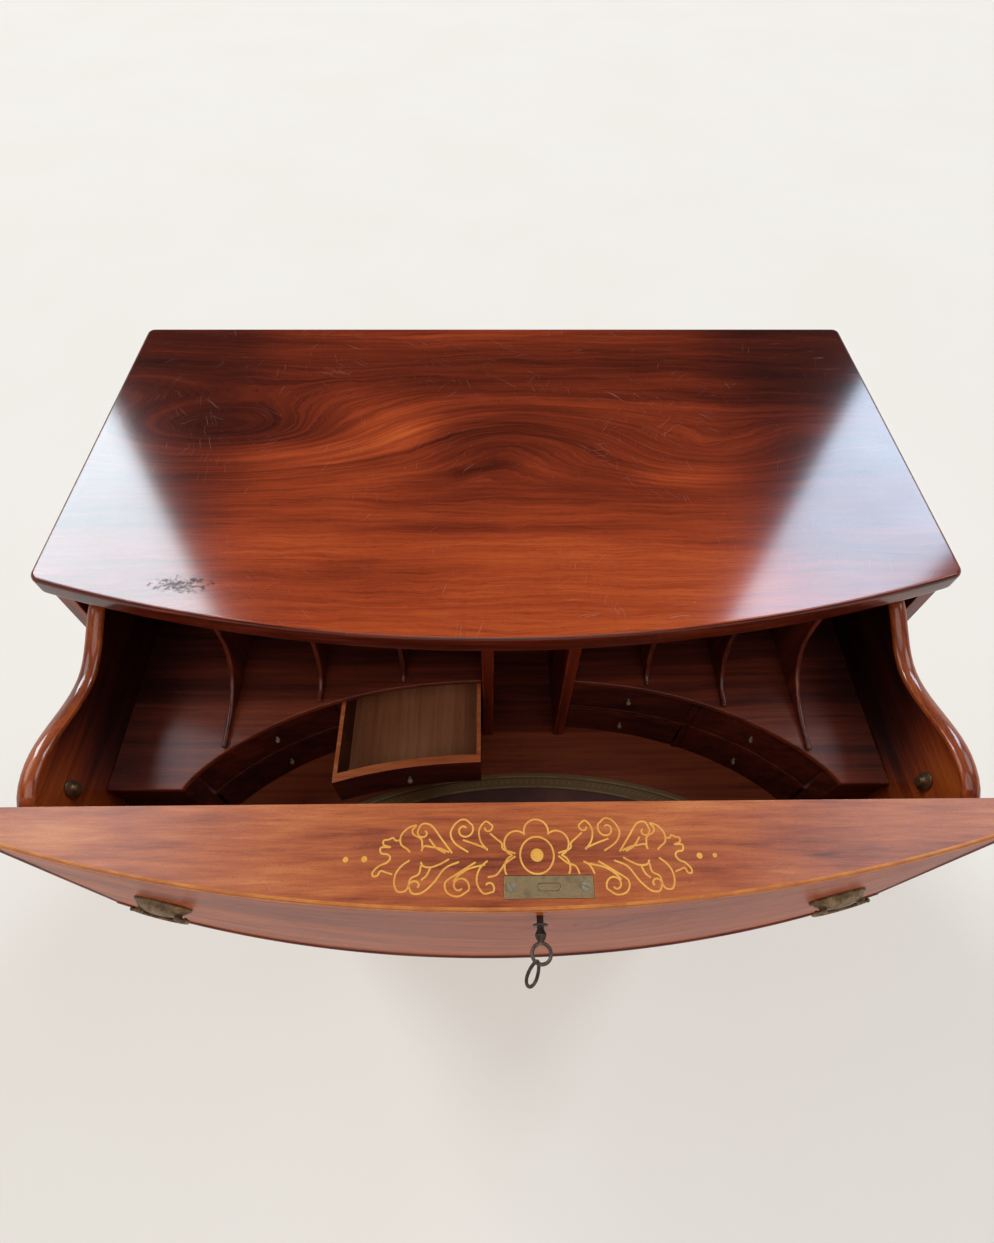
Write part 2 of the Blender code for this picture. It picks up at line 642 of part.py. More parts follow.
def build_handle(name, x, plane, z):
    at, along, out = face_frame(x, plane, z)
    up = Vector((0, 0, 1))
    rings = []
    for scale, rise in ((1.0, 0.0), (1.0, 0.0015), (0.93, 0.003), (0.72, 0.0062), (0.45, 0.0079), (0.15, 0.0085)):
        turns = [2 * math.pi * k / 20 for k in range(20)]
        place = at + out * (GAP + PLATE_RISE / 0.0085 * rise)
        rings.append([place + along * (PLATE_HALF[0] * scale * math.cos(t))
                      + up * (PLATE_HALF[1] * scale * math.sin(t)) for t in turns])
    plate = add_piece(f"{name}_plate", loft(rings), "bronze")
    for sign in (-1, 1):
        foot = at + along * (sign * POST_AT) + out * 0.0015
        profile = [(POST_RADIUS, 0.0), (POST_RADIUS, POST_REACH - 0.0035), (0.7 * POST_RADIUS, POST_REACH - 0.0015)]
        join(plate, lathe(profile, foot, out, 12))
    axis = at + out * BAIL_OUT
    for sign in (-1, 1):
        start = axis + along * (sign * (POST_AT - 0.001))
        cut(plate, lathe([(PIN_RADIUS + GAP, 0.0), (PIN_RADIUS + GAP, 0.02)], start, along * sign, 10))
    path = [axis + along * -(POST_AT), axis + along * -(BAIL_HALF - 0.003), axis + along * -(BAIL_HALF - 0.0022)]
    radii = [PIN_RADIUS, PIN_RADIUS, BAIL_RADIUS]
    for turn in spread(0.0, math.pi, 15):
        drop = BAIL_DROP * math.sin(turn) ** 0.85
        path.append(axis - along * (BAIL_HALF * math.cos(turn)) - up * (drop + 0.0005))
        radii.append(BAIL_RADIUS)
    path += [axis + along * (BAIL_HALF - 0.0022), axis + along * (BAIL_HALF - 0.003), axis + along * POST_AT]
    radii += [BAIL_RADIUS, PIN_RADIUS, PIN_RADIUS]
    add_piece(f"{name}_bail", tube(path, radii, 8), "bronze", axis)


def board_back(x):
    """Where the back of a lower drawer's bowed front is at x."""
    return front_y(x, FRONT_PLANE) + FRONT_BOARD


def board_outline():
    """A lower drawer's bowed front, as thick in the middle as at its ends."""
    xs = spread(-FRONT_HALF, FRONT_HALF, ARC_STEPS + 1)
    return [(x, front_y(x, FRONT_PLANE)) for x in xs] + [(x, board_back(x)) for x in reversed(xs)]


def build_fall():
    xs = spread(-FRONT_HALF, FRONT_HALF, ARC_STEPS + 1)
    outline = [(x, front_y(x, PLANE)) for x in xs] + [(FRONT_HALF, PLANE), (-FRONT_HALF, PLANE)]
    fall = add_piece("fall_front", plan_prism(outline, FALL_BOTTOM, FALL_TOP), "mahogany", (0.0, PLANE, WELL))
    wide = FRONT_HALF + 0.01
    cut(fall, box((-wide, PLANE - FLOOR_THICK - 2 * GAP, FALL_BOTTOM - 0.01), (wide, PLANE + 0.01, WELL)))
    reach = HINGE_RADIUS + 2 * GAP
    for x in (-HINGE_AT, HINGE_AT):
        half = HINGE_LENGTH / 2 + GAP
        cut(fall, box((x - half, PLANE - reach, WELL - 0.005), (x + half, PLANE + 0.01, WELL + reach)))
    x, y = LOCK_AT[0], PLANE - LOCK_AT[1]
    plate, case = LOCK_PLATE, LOCK_CASE
    cut(fall, box((x - plate[0] / 2 - GAP, y - plate[1] / 2 - GAP, FALL_TOP - plate[2] - GAP),
                  (x + plate[0] / 2 + GAP, y + plate[1] / 2 + GAP, FALL_TOP + 0.01)),
        box((x - case[0] / 2 - GAP, y - case[1] / 2 - GAP, FALL_TOP - case[2] - GAP),
            (x + case[0] / 2 + GAP, y + case[1] / 2 + GAP, FALL_TOP + 0.01)))
    build_lock(fall, x, y)
    for side, at in (("left", -HANDLE_AT), ("right", HANDLE_AT)):
        build_handle(f"fall_handle_{side}", at, PLANE, (FALL_TOP + FALL_BOTTOM) / 2)


def build_lock(fall, x, y):
    plate, case = LOCK_PLATE, LOCK_CASE
    top = FALL_TOP
    lock = add_piece("lock", box((x - plate[0] / 2, y - plate[1] / 2, top - plate[2]),
                                 (x + plate[0] / 2, y + plate[1] / 2, top)), "bronze")
    join(lock, box((x - case[0] / 2, y - case[1] / 2, top - case[2]),
                   (x + case[0] / 2, y + case[1] / 2, top - plate[2] / 2)))
    half = Vector((BOLT[0] / 2, BOLT[1] / 2))
    cut(lock, box((x - half.x - GAP, y - half.y - GAP, top - BOLT[2] - 2 * GAP),
                  (x + half.x + GAP, y + half.y + GAP, top + 0.01)))
    add_piece("lock_bolt", box((x - half.x, y - half.y, top - BOLT[2] - GAP), (x + half.x, y + half.y, top - GAP)),
              "bronze", (x, y, top))
    at = Vector((KEY_AT, y, top - KEY_DROP))
    room = KEY_RADIUS + 2 * GAP
    bit = 0.0095
    front = y - case[1] / 2
    cut(lock, lathe([(bit + 0.001, 0.0), (bit + 0.001, case[1])], at, (0, -1, 0), 20))
    cut(fall, lathe([(room, 0.0), (room, 0.05)], (at.x, front + 0.004, at.z), (0, -1, 0), 14),
        box((at.x - 0.0015, front - 0.05, at.z - bit - GAP), (at.x + 0.0015, front + 0.004, at.z)))
    build_key(at, bit)


def build_key(at, bit):
    face = front_y(at.x, PLANE)
    reach = at.y - face
    r = KEY_RADIUS
    profile = [(r, 0.002), (r, reach + 0.006), (2.2 * r, reach + 0.0062), (2.2 * r, reach + 0.0078), (r, reach + 0.008),
               (r, reach + 0.0105), (1.6 * r, reach + 0.0135), (1.7 * r, reach + 0.0150), (1.4 * r, reach + 0.0175),
               (0.7 * r, reach + 0.0205), (0.6 * r, reach + 0.0215)]
    key = add_piece("key", lathe(profile, at, (0, -1, 0), 12), "bronze", at)
    join(key, box((at.x, at.y - 0.0055, at.z - 0.001), (at.x + bit, at.y - 0.0025, at.z + 0.001)))
    centre = Vector((at.x, face - 0.0210 - KEY_BOW, at.z))
    turns = [2 * math.pi * k / 24 for k in range(24)]
    ring = [centre + KEY_BOW * Vector((math.cos(t), math.sin(t), 0)) for t in turns]
    join(key, loop_tube(ring, KEY_WIRE, 8, (0, 0, 1)))
    turn = math.radians(238)
    out = Vector((math.cos(turn), math.sin(turn), 0))
    along = Vector((-out.y, out.x, 0))
    hang = (out * 0.86 + Vector((0, 0, -0.51))).normalized()
    contact = centre + out * KEY_BOW
    half, wire, length = 0.0042, 0.0011, 0.030
    flat = hang.cross(along).normalized()
    start = contact + hang * (half - KEY_WIRE - wire - 2 * GAP)
    loop = []
    for t in turns:
        shift = 0.0 if math.cos(t) < 0 else length - 2 * half
        loop.append(start + hang * (half * math.cos(t) + shift) + flat * (half * math.sin(t)))
    add_piece("key_tag", loop_tube(loop, wire, 8, along), "bronze", contact)


def build_lower_drawers():
    for k in range(LOWER_DRAWERS):
        high = UPPER_BOARD_UNDER - k * (LOWER_OPENING + BOARD_THICK)
        low = high - LOWER_OPENING
        name = f"lower_drawer_{k + 1}"
        add_piece(f"{name}_front", plan_prism(board_outline(), low + REVEAL, high - REVEAL), "mahogany")
        half = FRONT_HALF - REVEAL
        xs = spread(-half, half, ARC_STEPS + 1)
        outline = [(x, board_back(x) + GAP) for x in xs] + [(half, BOX_BACK), (-half, BOX_BACK)]
        case = add_piece(f"{name}_box", plan_prism(outline, low + GAP, high - BOX_DROP), "drawer_wood")
        cut(case, box((-half + BOX_WALL, -0.5, low + GAP + BOX_BOTTOM), (half - BOX_WALL, BOX_BACK - BOX_WALL, high)))
        for side, x in (("left", -HANDLE_AT), ("right", HANDLE_AT)):
            build_handle(f"{name}_handle_{side}", x, FRONT_PLANE, (low + high) / 2)


def settle():
    """Moves everything so that the origin is the bottom centre of the bounding box."""
    bpy.context.view_layer.update()
    points = []
    for obj in bpy.context.scene.objects:
        points += [obj.matrix_world @ v.co for v in obj.data.vertices]
    low = [min(p[i] for p in points) for i in range(3)]
    high = [max(p[i] for p in points) for i in range(3)]
    shift = Vector((-(low[0] + high[0]) / 2, -(low[1] + high[1]) / 2, -low[2]))
    for obj in bpy.context.scene.objects:
        obj.location += shift
    print("shift", [round(v, 5) for v in shift], "size", [round(high[i] - low[i], 5) for i in range(3)])


clear_scene()
build_carcass()
build_writing_drawer()
build_small_drawers()
build_fall()
build_lower_drawers()
settle()
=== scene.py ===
"""Dresses the bow-front secretary chest in polished mahogany, scroll inlay, tooled leather and aged brass."""

from __future__ import annotations

import json
import logging
import math
from dataclasses import dataclass, field
from enum import Enum
from typing import Any, Callable, Mapping, Sequence, Union

import bmesh
import bpy
from bmesh.types import BMesh, BMFace, BMVert
from mathutils import Matrix, Vector

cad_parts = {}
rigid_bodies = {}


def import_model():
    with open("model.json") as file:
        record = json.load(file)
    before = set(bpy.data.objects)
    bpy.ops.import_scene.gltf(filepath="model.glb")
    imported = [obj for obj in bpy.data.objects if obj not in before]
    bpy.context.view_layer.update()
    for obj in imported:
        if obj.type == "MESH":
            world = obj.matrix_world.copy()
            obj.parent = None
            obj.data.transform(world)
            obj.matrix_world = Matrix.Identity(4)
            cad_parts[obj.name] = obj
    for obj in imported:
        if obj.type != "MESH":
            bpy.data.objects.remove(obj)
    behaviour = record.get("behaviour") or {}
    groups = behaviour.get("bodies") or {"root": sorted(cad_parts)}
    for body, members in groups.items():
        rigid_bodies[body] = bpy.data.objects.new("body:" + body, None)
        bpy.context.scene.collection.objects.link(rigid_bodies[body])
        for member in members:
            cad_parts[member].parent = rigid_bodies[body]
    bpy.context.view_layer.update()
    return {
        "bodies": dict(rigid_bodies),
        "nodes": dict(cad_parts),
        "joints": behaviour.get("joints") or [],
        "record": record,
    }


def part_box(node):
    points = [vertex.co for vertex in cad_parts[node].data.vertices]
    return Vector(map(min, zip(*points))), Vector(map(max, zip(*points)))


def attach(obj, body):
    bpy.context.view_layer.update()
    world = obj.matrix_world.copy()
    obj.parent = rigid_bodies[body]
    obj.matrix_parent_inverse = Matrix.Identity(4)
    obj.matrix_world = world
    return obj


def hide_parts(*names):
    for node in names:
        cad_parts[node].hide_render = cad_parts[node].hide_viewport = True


LOG = logging.getLogger("secretary_chest")
MM = 0.001
UP = Vector((0.0, 0.0, 1.0))
WELD = 2e-6
FLAT_ANGLE = math.radians(0.4)
ARRIS_ANGLE = math.radians(30.0)
SHADE_ANGLE = math.radians(42.0)
WIRE_RESOLUTION = 3
BEAD_SIDES = 14
BEAD_STEPS = 56
FRONT_RADIUS = 1.712
TOP_RADIUS = 1.600
EASE = 0.8 * MM
SKIN = 0.1 * MM
FACING = 0.9
BEAD_SUNK = 0.6 * MM
BEAD_SHORT = 0.2 * MM
SIDES = ("left", "right")
SIGNS = (-1, 1)
SEED_STEP = 1.7
TONE_STOPS = (0.06, 0.30, 0.50, 0.70, 0.94)

Colour = tuple[float, float, float]
Pair = tuple[float, float]
Tones = tuple[Colour, ...]
Outline = tuple[Pair, ...]
Scroll = tuple[Outline, Pair, float]
Value = Union["Flow", float, Sequence[float]]
Area = tuple[Any, Callable[[BMFace], bool]]


def _math(operation: str, swapped: bool = False) -> Callable[[Flow, Value], Flow]:
    """A method that joins two shader values by a Math node.

    Args:
        operation: Blender's name of the operation.
        swapped: Whether the other value comes first, as in Python's reflected methods.

    Returns:
        The method.
    """

    def method(self: Flow, other: Value) -> Flow:
        """The two values joined."""
        first, second = (other, self) if swapped else (self, other)
        return self.graph.node("ShaderNodeMath", {"operation": operation}, {0: first, 1: second})

    return method


class Flow:
    """One shader value that can be used in Python expressions."""

    __add__ = _math("ADD")
    __radd__ = _math("ADD", swapped=True)
    __sub__ = _math("SUBTRACT")
    __rsub__ = _math("SUBTRACT", swapped=True)
    __mul__ = _math("MULTIPLY")
    __truediv__ = _math("DIVIDE")
    __pow__ = _math("POWER")
    __rpow__ = _math("POWER", swapped=True)
    at_least = _math("MAXIMUM")

    def __init__(self, graph: Graph, socket: bpy.types.NodeSocket) -> None:
        """Keeps the graph that the value belongs to and the socket that gives it."""
        self.graph = graph
        self.socket = socket

    def mask(self, low: float, high: float) -> Flow:
        """Eases from 0 at low to 1 at high."""
        sockets = {0: self, 1: low, 2: high, 3: 0.0, 4: 1.0}
        return self.graph.node("ShaderNodeMapRange", {"interpolation_type": "SMOOTHSTEP"}, sockets)

    def line(self, middle: float, half: float) -> Flow:
        """1 where the value is within half of middle, with a soft edge."""
        away = self.graph.node("ShaderNodeMath", {"operation": "ABSOLUTE"}, {0: self - middle})
        return 1.0 - away.mask(half * 0.6, half * 1.2)


class Graph:
    """The node tree of one material, with its Principled shader, or of the world."""

    def __init__(self, owner: bpy.types.Material | bpy.types.World) -> None:
        """Opens a node tree.

        Args:
            owner: The material or the world that the tree belongs to.
        """
        self.owner = owner
        owner.use_nodes = True
        self.tree = owner.node_tree
        self.shader = self.tree.nodes.get("Principled BSDF")

    def feed(self, socket: bpy.types.NodeSocket, value: Value) -> None:
        """Links a value to a socket, or sets it there if it is a plain number or colour.

        Args:
            socket: The input that takes the value.
            value: A flow, a number, a vector or a colour without alpha.
        """
        if isinstance(value, Flow):
            self.tree.links.new(value.socket, socket)
        elif socket.type == "RGBA" and len(value) == 3:
            socket.default_value = (*value, 1.0)
        else:
            socket.default_value = value

    def node(self, kind: str, settings: Mapping[str, Any] | None = None,
             sockets: Mapping[str | int, Value] | None = None, out: str | int = 0) -> Flow:
        """Adds one node.

        Args:
            kind: Blender's name of the node type.
            settings: Properties of the node, set first; "stops" are a ramp's place and colour pairs.
            sockets: Values or links for its inputs, by name or number.
            out: The output to return.

        Returns:
            The chosen output.
        """
        made = self.tree.nodes.new(kind)
        for name, value in (settings or {}).items():
            if name == "stops":
                self._set_stops(made.color_ramp, value)
            else:
                setattr(made, name, value)
        for name, value in (sockets or {}).items():
            self.feed(made.inputs[name], value)
        return Flow(self, made.outputs[out])

    @staticmethod
    def _set_stops(ramp: bpy.types.ColorRamp, stops: Sequence[tuple[float, Colour]]) -> None:
        """Gives a ramp its stops, from its first to its last.

        Args:
            ramp: The ramp.
            stops: Each stop's place and colour.
        """
        while len(ramp.elements) < len(stops):
            ramp.elements.new(1.0)
        for element, (place, colour) in zip(ramp.elements, stops):
            element.position = place
            element.color = (*colour, 1.0)

    def place(self) -> tuple[Flow, Flow, Flow]:
        """The x, y and z of the point in metres."""
        point = self.node("ShaderNodeTexCoord", out="Object")
        return tuple(self.node("ShaderNodeSeparateXYZ", None, {0: point}, axis) for axis in "XYZ")

    def join(self, x: Value, y: Value, z: Value) -> Flow:
        """A vector of three values."""
        return self.node("ShaderNodeCombineXYZ", None, {0: x, 1: y, 2: z})

    def noise(self, x: Value, y: Value, z: Value, detail: float = 2.0, rough: float = 0.5) -> Flow:
        """Soft noise, about 0.5 in the middle, at a place that is already scaled."""
        sockets = {"Vector": self.join(x, y, z), "Scale": 1.0, "Detail": detail, "Roughness": rough}
        return self.node("ShaderNodeTexNoise", None, sockets)

    def ramp(self, factor: Flow, stops: Sequence[tuple[float, Colour]]) -> Flow:
        """A colour that runs through the stops as the factor grows."""
        return self.node("ShaderNodeValToRGB", {"stops": stops}, {0: factor})

    def clouds(self, place: Sequence[Flow], scale: float, detail: float = 2.0, rough: float = 0.5) -> Flow:
        """Soft noise that is as fine in all three directions."""
        return self.noise(*(axis * scale for axis in place), detail, rough)

    def mix(self, factor: Value, first: Value, second: Value) -> Flow:
        """The first colour turned into the second by the factor."""
        return self.node("ShaderNodeMix", {"data_type": "RGBA"}, {0: factor, 6: first, 7: second}, 2)

    def attribute(self, name: str) -> Flow:
        """A number kept on the mesh, 0 where the mesh has none."""
        return self.node("ShaderNodeAttribute", {"attribute_name": name}, None, "Fac")

    def bump(self, height: Flow, strength: float, distance: float) -> Flow:
        """A normal tilted by a height pattern."""
        sockets = {"Strength": strength, "Distance": distance, "Height": height}
        return self.node("ShaderNodeBump", None, sockets)

    def finish(self, **sockets: Value) -> bpy.types.Material:
        """Feeds the shader, an underscore standing for a space in a socket's name.

        Args:
            sockets: Values or links for the Principled shader.

        Returns:
            The finished material.
        """
        for name, value in sockets.items():
            self.feed(self.shader.inputs[name.replace("_", " ")], value)
        return self.owner


class Grain(Enum):
    """The way that a board's grain runs, as the order of along, across and through."""

    WIDE = (0, 1, 2)
    FRONT = (0, 2, 1)
    DEEP = (1, 0, 2)
    FLANK = (1, 2, 0)
    UPRIGHT = (2, 0, 1)
    UPRIGHT_FLANK = (2, 1, 0)


@dataclass(frozen=True)
class Patch:
    """A soft oval of a board, where its grain lines rise, its tone changes or a stain lies."""

    at: Pair
    reach: Pair
    gain: float


@dataclass(frozen=True)
class ToneSlope:
    """A change of tone that grows along one axis from a start to an end; on the top, the cheeks' flat faces
    and the inner boards it is painted light and shade.
    """

    axis: int
    start: float
    end: float
    gain: float

    def on(self, place: Sequence[Flow]) -> Flow:
        """The change at a point."""
        way = 1.0 if self.end > self.start else -1.0
        return (place[self.axis] * way).mask(self.start * way, self.end * way) * self.gain


@dataclass(frozen=True)
class Timber:
    """A board's wood: its tones from dark to light, its grain and figure, its polish and its wear, and on
    some boards slopes of tone that paint light and shade.
    """

    name: str
    tones: Tones
    grain: Grain
    seed: float
    bands: float
    waver: float
    figure: float
    smoke: float
    shift: float
    tone_slopes: tuple[ToneSlope, ...] = ()
    swirls: tuple[Patch, ...] = ()
    stains: tuple[Patch, ...] = ()
    glows: tuple[Patch, ...] = ()
    feather: float = 0.35
    streak: float = 0.55
    flare: Patch | None = None
    stretch: float = 1.0
    roughness: float = 0.36
    specular: float = 0.2
    coat: float = 0.85
    coat_roughness: float = 0.10
    coat_index: float = 1.5
    marks: float = 0.4
    wear: float = 0.5
    scratched: Colour = (0.58, 0.42, 0.36)
    ink: Colour = (0.016, 0.010, 0.009)

    def material(self) -> bpy.types.Material:
        """Builds the wood.

        Returns:
            The material.
        """
        graph = Graph(bpy.data.materials.new(self.name))
        place = graph.place()
        along, across, through = (place[axis] for axis in self.grain.value)
        along = along + self.seed * SEED_STEP
        lines = self._grain_lines(graph, along, across, through)
        depth = through + self.seed
        run = along / self.stretch
        broad = graph.noise(run * 1.5, lines * self.bands, depth * self.bands * 0.4, 3.0, 0.5)
        flames = graph.noise(run * 3.0, lines * self.bands * 4.4, depth * self.bands * 1.5, 3.0, 0.6)
        streaks = graph.noise(run * 6.0, lines * 210.0, depth * 120.0, 3.0)
        fibres = graph.noise(run * 18.0, lines * 760.0, depth * 620.0, 2.0)
        smoke = graph.noise(run * 3.5, lines * 9.0, depth * 8.0, 4.0, 0.6).mask(0.50, 0.74)
        figure = (broad - 0.5) * 1.15 * self.figure + (flames - 0.5) * 1.05 * self.figure
        if self.flare:
            figure = figure * (1.0 + self._hump(along, across, self.flare))
        tone = 0.5 + self.shift + figure - smoke * self.smoke
        tone = tone + (streaks - 0.5) * self.streak + (fibres - 0.5) * 0.30
        # Slopes of tone along an axis: painted light and shade on the top, the cheeks' flat faces and the
        # inner boards.
        for slope in self.tone_slopes:
            tone = tone + slope.on(place)
        for glow in self.glows:
            tone = tone + self._hump(along, across, glow)
        colour = graph.ramp(tone, list(zip(TONE_STOPS, self.tones)))
        pores = graph.noise(run * 90.0, lines * 1700.0, depth * 1500.0, 1.0).mask(0.60, 0.72)
        colour = graph.mix(pores * 0.40, colour, self.tones[0])
        scratches = self._scratches(graph, along, across, depth) * self.marks
        colour = graph.mix(scratches * 0.34, colour, self.scratched)
        patchy = graph.clouds(place, 70.0, 3.0).mask(0.42, 0.62)
        worn = graph.attribute("arris") * patchy * self.wear
        colour = graph.mix(worn * 0.6, colour, self.tones[-1])
        damage = self._stained(graph, along, across)
        if damage:
            colour = graph.mix(damage * 0.85, colour, self.ink)
            scratches = scratches.at_least(damage)
        smudge = graph.clouds(place, 9.0, 4.0, 0.6)
        rough = self.roughness + (smudge - 0.5) * 0.16 + scratches * 0.3 + worn * 0.2
        normal = graph.bump(fibres * 0.5 - pores - scratches * 0.7, 0.12, 0.0004)
        coat = (1.0 - scratches * 0.7 - worn * 0.5 - (smudge - 0.4).at_least(0.0) * 0.35) * self.coat
        return graph.finish(Base_Color=colour, Roughness=rough, Normal=normal,
                            Specular_IOR_Level=self.specular, Coat_Weight=coat,
                            Coat_Roughness=self.coat_roughness, Coat_IOR=self.coat_index)

    def _stained(self, graph: Graph, along: Flow, across: Flow) -> Flow | None:
        """How far the stains darken a point.

        Args:
            graph: The graph to add to.
            along: The distance along the grain.
            across: The distance across it.

        Returns:
            1 in a stain and 0 outside it, or nothing for a board without stains.
        """
        found = None
        mottle = graph.noise(along * 150.0, across * 190.0, self.seed, 4.0, 0.7) if self.stains else None
        for stain in self.stains:
            patch = (mottle + self._hump(along, across, stain)).mask(0.76, 0.94)
            found = patch if found is None else found.at_least(patch)
        return found

    def _grain_lines(self, graph: Graph, along: Flow, across: Flow, through: Flow) -> Flow:
        """Which grain line a point lies on: the distance across, bent slowly and raised over each swirl.

        Args:
            graph: The graph to add to.
            along: The distance along the grain.
            across: The distance across it.
            through: The distance through the board.

        Returns:
            The grain line in metres.
        """
        bend = graph.noise(along * 1.7, across * 3.1, through * 3.1 + self.seed, 2.0) - 0.5
        ripple = graph.noise(along * 9.0, across * 18.0, through * 9.0, 3.0, 0.6) - 0.5
        lines = across + through * 0.4 + bend * self.waver * 2.0 + ripple * self.waver * self.feather
        for swirl in self.swirls:
            lines = lines + self._hump(along, across, swirl)
        return lines

    def _hump(self, along: Flow, across: Flow, patch: Patch) -> Flow:
        """A soft hump over a patch, which falls away with the distance from its middle.

        Args:
            along: The distance along the grain.
            across: The distance across it.
            patch: Where the hump is and how high.

        Returns:
            The hump's height at a point.
        """
        u = (along - (patch.at[0] + self.seed * SEED_STEP)) / patch.reach[0]
        v = (across - patch.at[1]) / patch.reach[1]
        return math.e ** (0.0 - u * u - v * v) * patch.gain

    @staticmethod
    def _scratches(graph: Graph, along: Flow, across: Flow, depth: Flow) -> Flow:
        """Fine short scratches at a few angles and small pits, gathered in patches.

        Args:
            graph: The graph to add to.
            along: The distance along the grain.
            across: The distance across it.
            depth: The distance through the board.

        Returns:
            1 on a scratch and 0 off it.
        """
        pits = graph.noise(along * 380.0, across * 380.0, depth, 1.0).mask(0.76, 0.80)
        found = pits * graph.noise(along * 9.0, across * 9.0, depth, 2.0).mask(0.44, 0.60)
        for turn in (0.25, 0.8, 1.35, 1.8, 2.5):
            sway = graph.noise(along * 15.0, across * 15.0, turn * 3.0, 2.0) * 0.035
            run = along * math.cos(turn) + across * math.sin(turn)
            side = across * math.cos(turn) - along * math.sin(turn) + depth + sway
            fine = graph.noise(run * 22.0, side * 1300.0, turn * 9.0, 1.0).mask(0.72, 0.77)
            patch = graph.noise(run * 9.0, side * 9.0, turn * 5.0, 2.0).mask(0.52, 0.66)
            found = found.at_least(fine * patch)
        return found


@dataclass(frozen=True)
class AgedMetal:
    """Cast metal that has darkened, with brighter edges where it is handled."""

    name: str
    bright: Colour
    patina: Colour
    age: float
    roughness: float

    def material(self) -> bpy.types.Material:
        """Builds the metal.

        Returns:
            The material.
        """
        graph = Graph(bpy.data.materials.new(self.name))
        x, y, z = graph.place()
        clouds = graph.clouds((x, y, z), 110.0, 4.0, 0.6)
        grit = graph.clouds((x, y, z), 900.0, 3.0)
        lines = graph.noise(x * 160.0, y * 2600.0, z * 2600.0, 1.0)
        rubbed = graph.attribute("arris") * 0.5
        age = (clouds * 0.7 + grit * 0.3 + (self.age - 0.5) - rubbed).mask(0.34, 0.66)
        colour = graph.mix(age, self.bright, self.patina)
        rough = self.roughness + age * 0.20 + (lines - 0.5) * 0.12
        normal = graph.bump(grit + clouds * 0.6, 0.10, 0.0003)
        return graph.finish(Base_Color=colour, Roughness=rough, Metallic=1.0 - age * 0.25, Normal=normal)


@dataclass(frozen=True)
class InlayWood:
    """Pale inlay or edging wood under the polish, darkened unevenly."""

    name: str
    pale: Colour
    deep: Colour

    def material(self) -> bpy.types.Material:
        """Builds the inlay wood.

        Returns:
            The material.
        """
        graph = Graph(bpy.data.materials.new(self.name))
        x, y, z = graph.place()
        patches = graph.clouds((x, y, z), 55.0, 3.0)
        fibre = graph.noise(x * 180.0, y * 1300.0, z * 1300.0, 2.0)
        colour = graph.mix((patches * 0.65 + fibre * 0.35).mask(0.35, 0.68), self.deep, self.pale)
        normal = graph.bump(fibre, 0.08, 0.0002)
        return graph.finish(Base_Color=colour, Roughness=0.42 + patches * 0.12, Normal=normal,
                            Specular_IOR_Level=0.2, Coat_Weight=0.2, Coat_Roughness=0.15)


@dataclass(frozen=True)
class ToolingLeather:
    """The writing leather, with gilt lines and a stamped band that follow its curved edge."""

    name: str
    middle: Pair
    reach: Pair
    outer_line: float = 5.0 * MM
    stamped_line: float = 12.0 * MM
    inner_line: float = 19.0 * MM
    blind_lines: Pair = (7.0 * MM, 21.5 * MM)
    border_edge: Pair = (20.0 * MM, 23.0 * MM)
    stamps: float = 210.0
    hide: tuple[tuple[float, Colour], ...] = (
        (0.32, (0.055, 0.014, 0.008)), (0.5, (0.100, 0.024, 0.012)), (0.7, (0.17, 0.044, 0.02)))
    border: Colour = (0.215, 0.112, 0.030)
    blind: Colour = (0.020, 0.010, 0.004)
    gold: Colour = (0.44, 0.28, 0.075)

    def material(self) -> bpy.types.Material:
        """Builds the leather.

        Returns:
            The material.
        """
        graph = Graph(bpy.data.materials.new(self.name))
        x, y, z = graph.place()
        u = (x - self.middle[0]) / self.reach[0]
        v = (y - self.middle[1]) / self.reach[1]
        inside = (1.0 - (u * u + v * v) ** 0.5) * self.reach[1]
        turn = graph.node("ShaderNodeMath", {"operation": "ARCTAN2"}, {0: v, 1: u})
        beads = graph.node("ShaderNodeMath", {"operation": "SINE"}, {0: turn * self.stamps}).mask(-0.2, 0.7)
        gilt = inside.line(self.outer_line, 0.9 * MM).at_least(inside.line(self.inner_line, 0.8 * MM))
        gilt = gilt.at_least(inside.line(self.stamped_line, 2.6 * MM) * beads * 0.35)
        outer, inner = self.blind_lines
        dark = inside.line(outer, 0.6 * MM).at_least(inside.line(inner, 1.0 * MM))
        rubbed = graph.noise(x * 40.0, y * 40.0, z, 4.0).mask(0.36, 0.58)
        grain = graph.node("ShaderNodeTexVoronoi", {"feature": "DISTANCE_TO_EDGE"},
                           {"Vector": graph.join(x * 900.0, y * 900.0, z * 900.0), "Scale": 1.0})
        stain = graph.noise(x * 11.0, y * 11.0, z, 4.0, 0.6)
        hide = graph.ramp(stain, self.hide)
        border = 1.0 - inside.mask(*self.border_edge)
        hide = graph.mix(border * 0.80, hide, self.border)
        hide = graph.mix(dark * 0.8, hide, self.blind)
        colour = graph.mix(gilt * rubbed * 0.55, hide, self.gold)
        height = grain.mask(0.0, 0.12) - gilt * 1.5
        normal = graph.bump(height, 0.35, 0.0003)
        rough = 0.52 + (stain - 0.5) * 0.2 - gilt * rubbed * 0.15
        return graph.finish(Base_Color=colour, Roughness=rough, Normal=normal)


